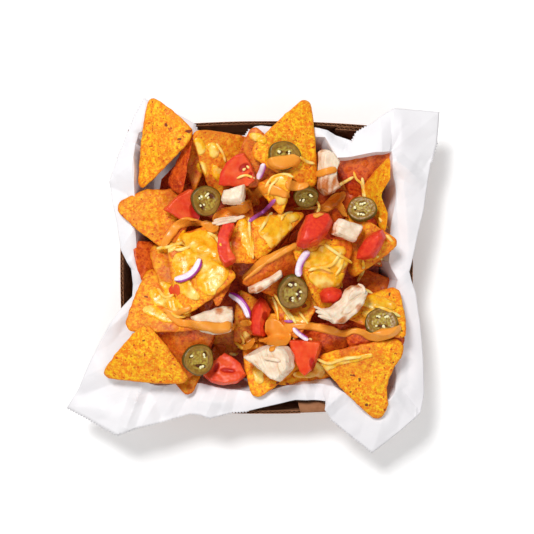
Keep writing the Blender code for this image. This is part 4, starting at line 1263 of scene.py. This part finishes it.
CHICKEN_FIBRES = (
    ((-37, 30), (-30, 31.5), (-22, 33), (-15, 35)), ((-36, 32), (-29, 33.5), (-20, 34.5)),
    ((-34, 28.5), (-27, 30), (-20, 31.5)), ((31.5, -26), (36, -28), (41, -31)),
    ((32.5, -29), (37, -30), (42, -33)),
    ((34, -32), (38, -32.5), (43, -34)), ((61, -11), (64, -13), (65, -17)), ((-2, -60), (4, -61), (9, -62)),
)

fibres = Joined()
for number, stations in enumerate(CHICKEN_FIBRES):
    rng = random.Random(number + 70)
    points, faces, _ = stiff_strip(
        high_heights, stations, rng.uniform(1.5, 2.6), rng.uniform(1.1, 1.7), number + 90)
    fibres.add(points, faces)
# The loose fibres take a little of the painted groove shade all over.
food.append(add_piece("chicken_fibres", fibres.points, fibres.faces, cooked, smooth=70,
                      values={"browned": [0.0] * len(fibres.points), "groove": [0.1] * len(fibres.points)}))


# ---------------------------------------------------------------------------------------
# Tomato bits. Flat scraps left by the knife, and seeds washed out of the chambers, which
# stick to whatever they fall on.
# ---------------------------------------------------------------------------------------

# Bits of tomato: stations of x, y and width in millimetres.
TOMATO_BITS = (((-66, -14, 6), (-62, -15.5, 9), (-58.5, -18, 6)), ((28, 14, 2), (31, 16, 3), (34, 18, 2)))

# Seeds: x and y in millimetres, and the heading in degrees.
TOMATO_SEEDS = (
    (-15, 66, 30), (-12.5, 67.5, 140), (24.5, -46.5, 10), (30, -49, 150), (19, -48, 60),
)

seed_coat = shader("wet seed", 0.3, Specular_IOR_Level=0.5, Base_Color=(*srgb(248, 220, 130), 1))[0]

bits = Joined()
for number, stations in enumerate(TOMATO_BITS):
    bits.add(*draped(gentle_heights, stations, 0.0012, number + 200, uneven=0.5))
food.append(add_piece("tomato_bits", bits.points, bits.faces, ripe, smooth=60,
                      values={"skin": [0.0] * len(bits.points), "hollow": [0.0] * len(bits.points)}))

jelly_seeds = Joined()
for x, y, heading in TOMATO_SEEDS:
    at = Vector((x * MM, y * MM, float(height_at(heights, x * MM, y * MM)) + 0.0003))
    jelly_seeds.add(*seed_shell(at, 0.0028, 0.0019, math.radians(heading)))
food.append(add_piece("tomato_seeds", jelly_seeds.points, jelly_seeds.faces, seed_coat, smooth=180))


# ---------------------------------------------------------------------------------------
# Onion strips. Narrow cuts of red onion dropped on last, purple along one side where they
# are wide enough to show it.
# ---------------------------------------------------------------------------------------

# Narrow onion strips: stations of x and y, width and thickness.
ONION_STRIPS = (
    (((-2, 70), (-3, 66), (-6, 60)), 4.2, 2.4), (((6, 46), (2, 42), (-3, 38), (-12, 31)), 2.6, 1.8),
    (((28, 11), (23.5, 5), (21.5, -1), (21.5, -6)), 5.0, 2.6), (((18, -41), (22, -45), (28, -49)), 3.4, 2.0),
    (((12, -36.3), (15, -36.5), (18, -36.6)), 2.0, 1.4),
)

strips = Joined()
for number, (stations, width, thickness) in enumerate(ONION_STRIPS):
    points, faces, sided = stiff_strip(high_heights, stations, width, thickness, number + 50)
    strips.add(points, faces, [float(np.clip((s - 0.45) / 0.3, 0, 1)) if width > 3 else 0.9 for s in sided])
food.append(add_piece("onion_strips", strips.points, strips.faces, crisp, smooth=70,
                      values={"purple": strips.values}))


# ---------------------------------------------------------------------------------------
# Table, lights and camera. The tray stands on a plain white table under soft light that
# comes mostly from the back left, and is looked at from straight above.
# ---------------------------------------------------------------------------------------

VIEW_HEIGHT = 0.850
SHARP_HEIGHT = 0.050
SEEN_WIDTH = 0.36575

scene = bpy.context.scene
table_mesh = bpy.data.meshes.new("table")
table_mesh.from_pydata([(-3, -3, 0), (3, -3, 0), (3, 3, 0), (-3, 3, 0)], [], [(0, 1, 2, 3)])
table = bpy.data.objects.new("table", table_mesh)
scene.collection.objects.link(table)
table_mesh.materials.append(shader(
    "white table", 0.9, Specular_IOR_Level=0.1, Base_Color=(0.97, 0.97, 0.97, 1),
    Emission_Color=(1, 1, 1, 1), Emission_Strength=0.15)[0])


def lamp(name, at, size, power):
    """A white square lamp that faces the middle of the tray."""
    data = bpy.data.lights.new(name, "AREA")
    data.shape = "SQUARE"
    data.size = size
    data.energy = power
    made = bpy.data.objects.new(name, data)
    made.location = at
    made.rotation_euler = (Vector((0, 0, 0.04)) - Vector(at)).to_track_quat("-Z", "Y").to_euler()
    scene.collection.objects.link(made)


lamp("window", (-0.42, 0.75, 1.45), 0.40, 19)
lamp("room side", (0.20, -0.90, 1.30), 1.2, 8)

world = bpy.data.worlds.new("room")
world.use_nodes = True
world.node_tree.nodes["Background"].inputs["Color"].default_value = (1, 1, 1, 1)
world.node_tree.nodes["Background"].inputs["Strength"].default_value = 0.28
scene.world = world
scene.view_settings.view_transform = "Standard"

camera_data = bpy.data.cameras.new("view")
camera_data.sensor_width = 36
camera_data.lens = 36 * (VIEW_HEIGHT - SHARP_HEIGHT) / SEEN_WIDTH
camera = bpy.data.objects.new("view", camera_data)
camera.location = (0.0003, 0.0003, VIEW_HEIGHT)
scene.collection.objects.link(camera)
scene.camera = camera
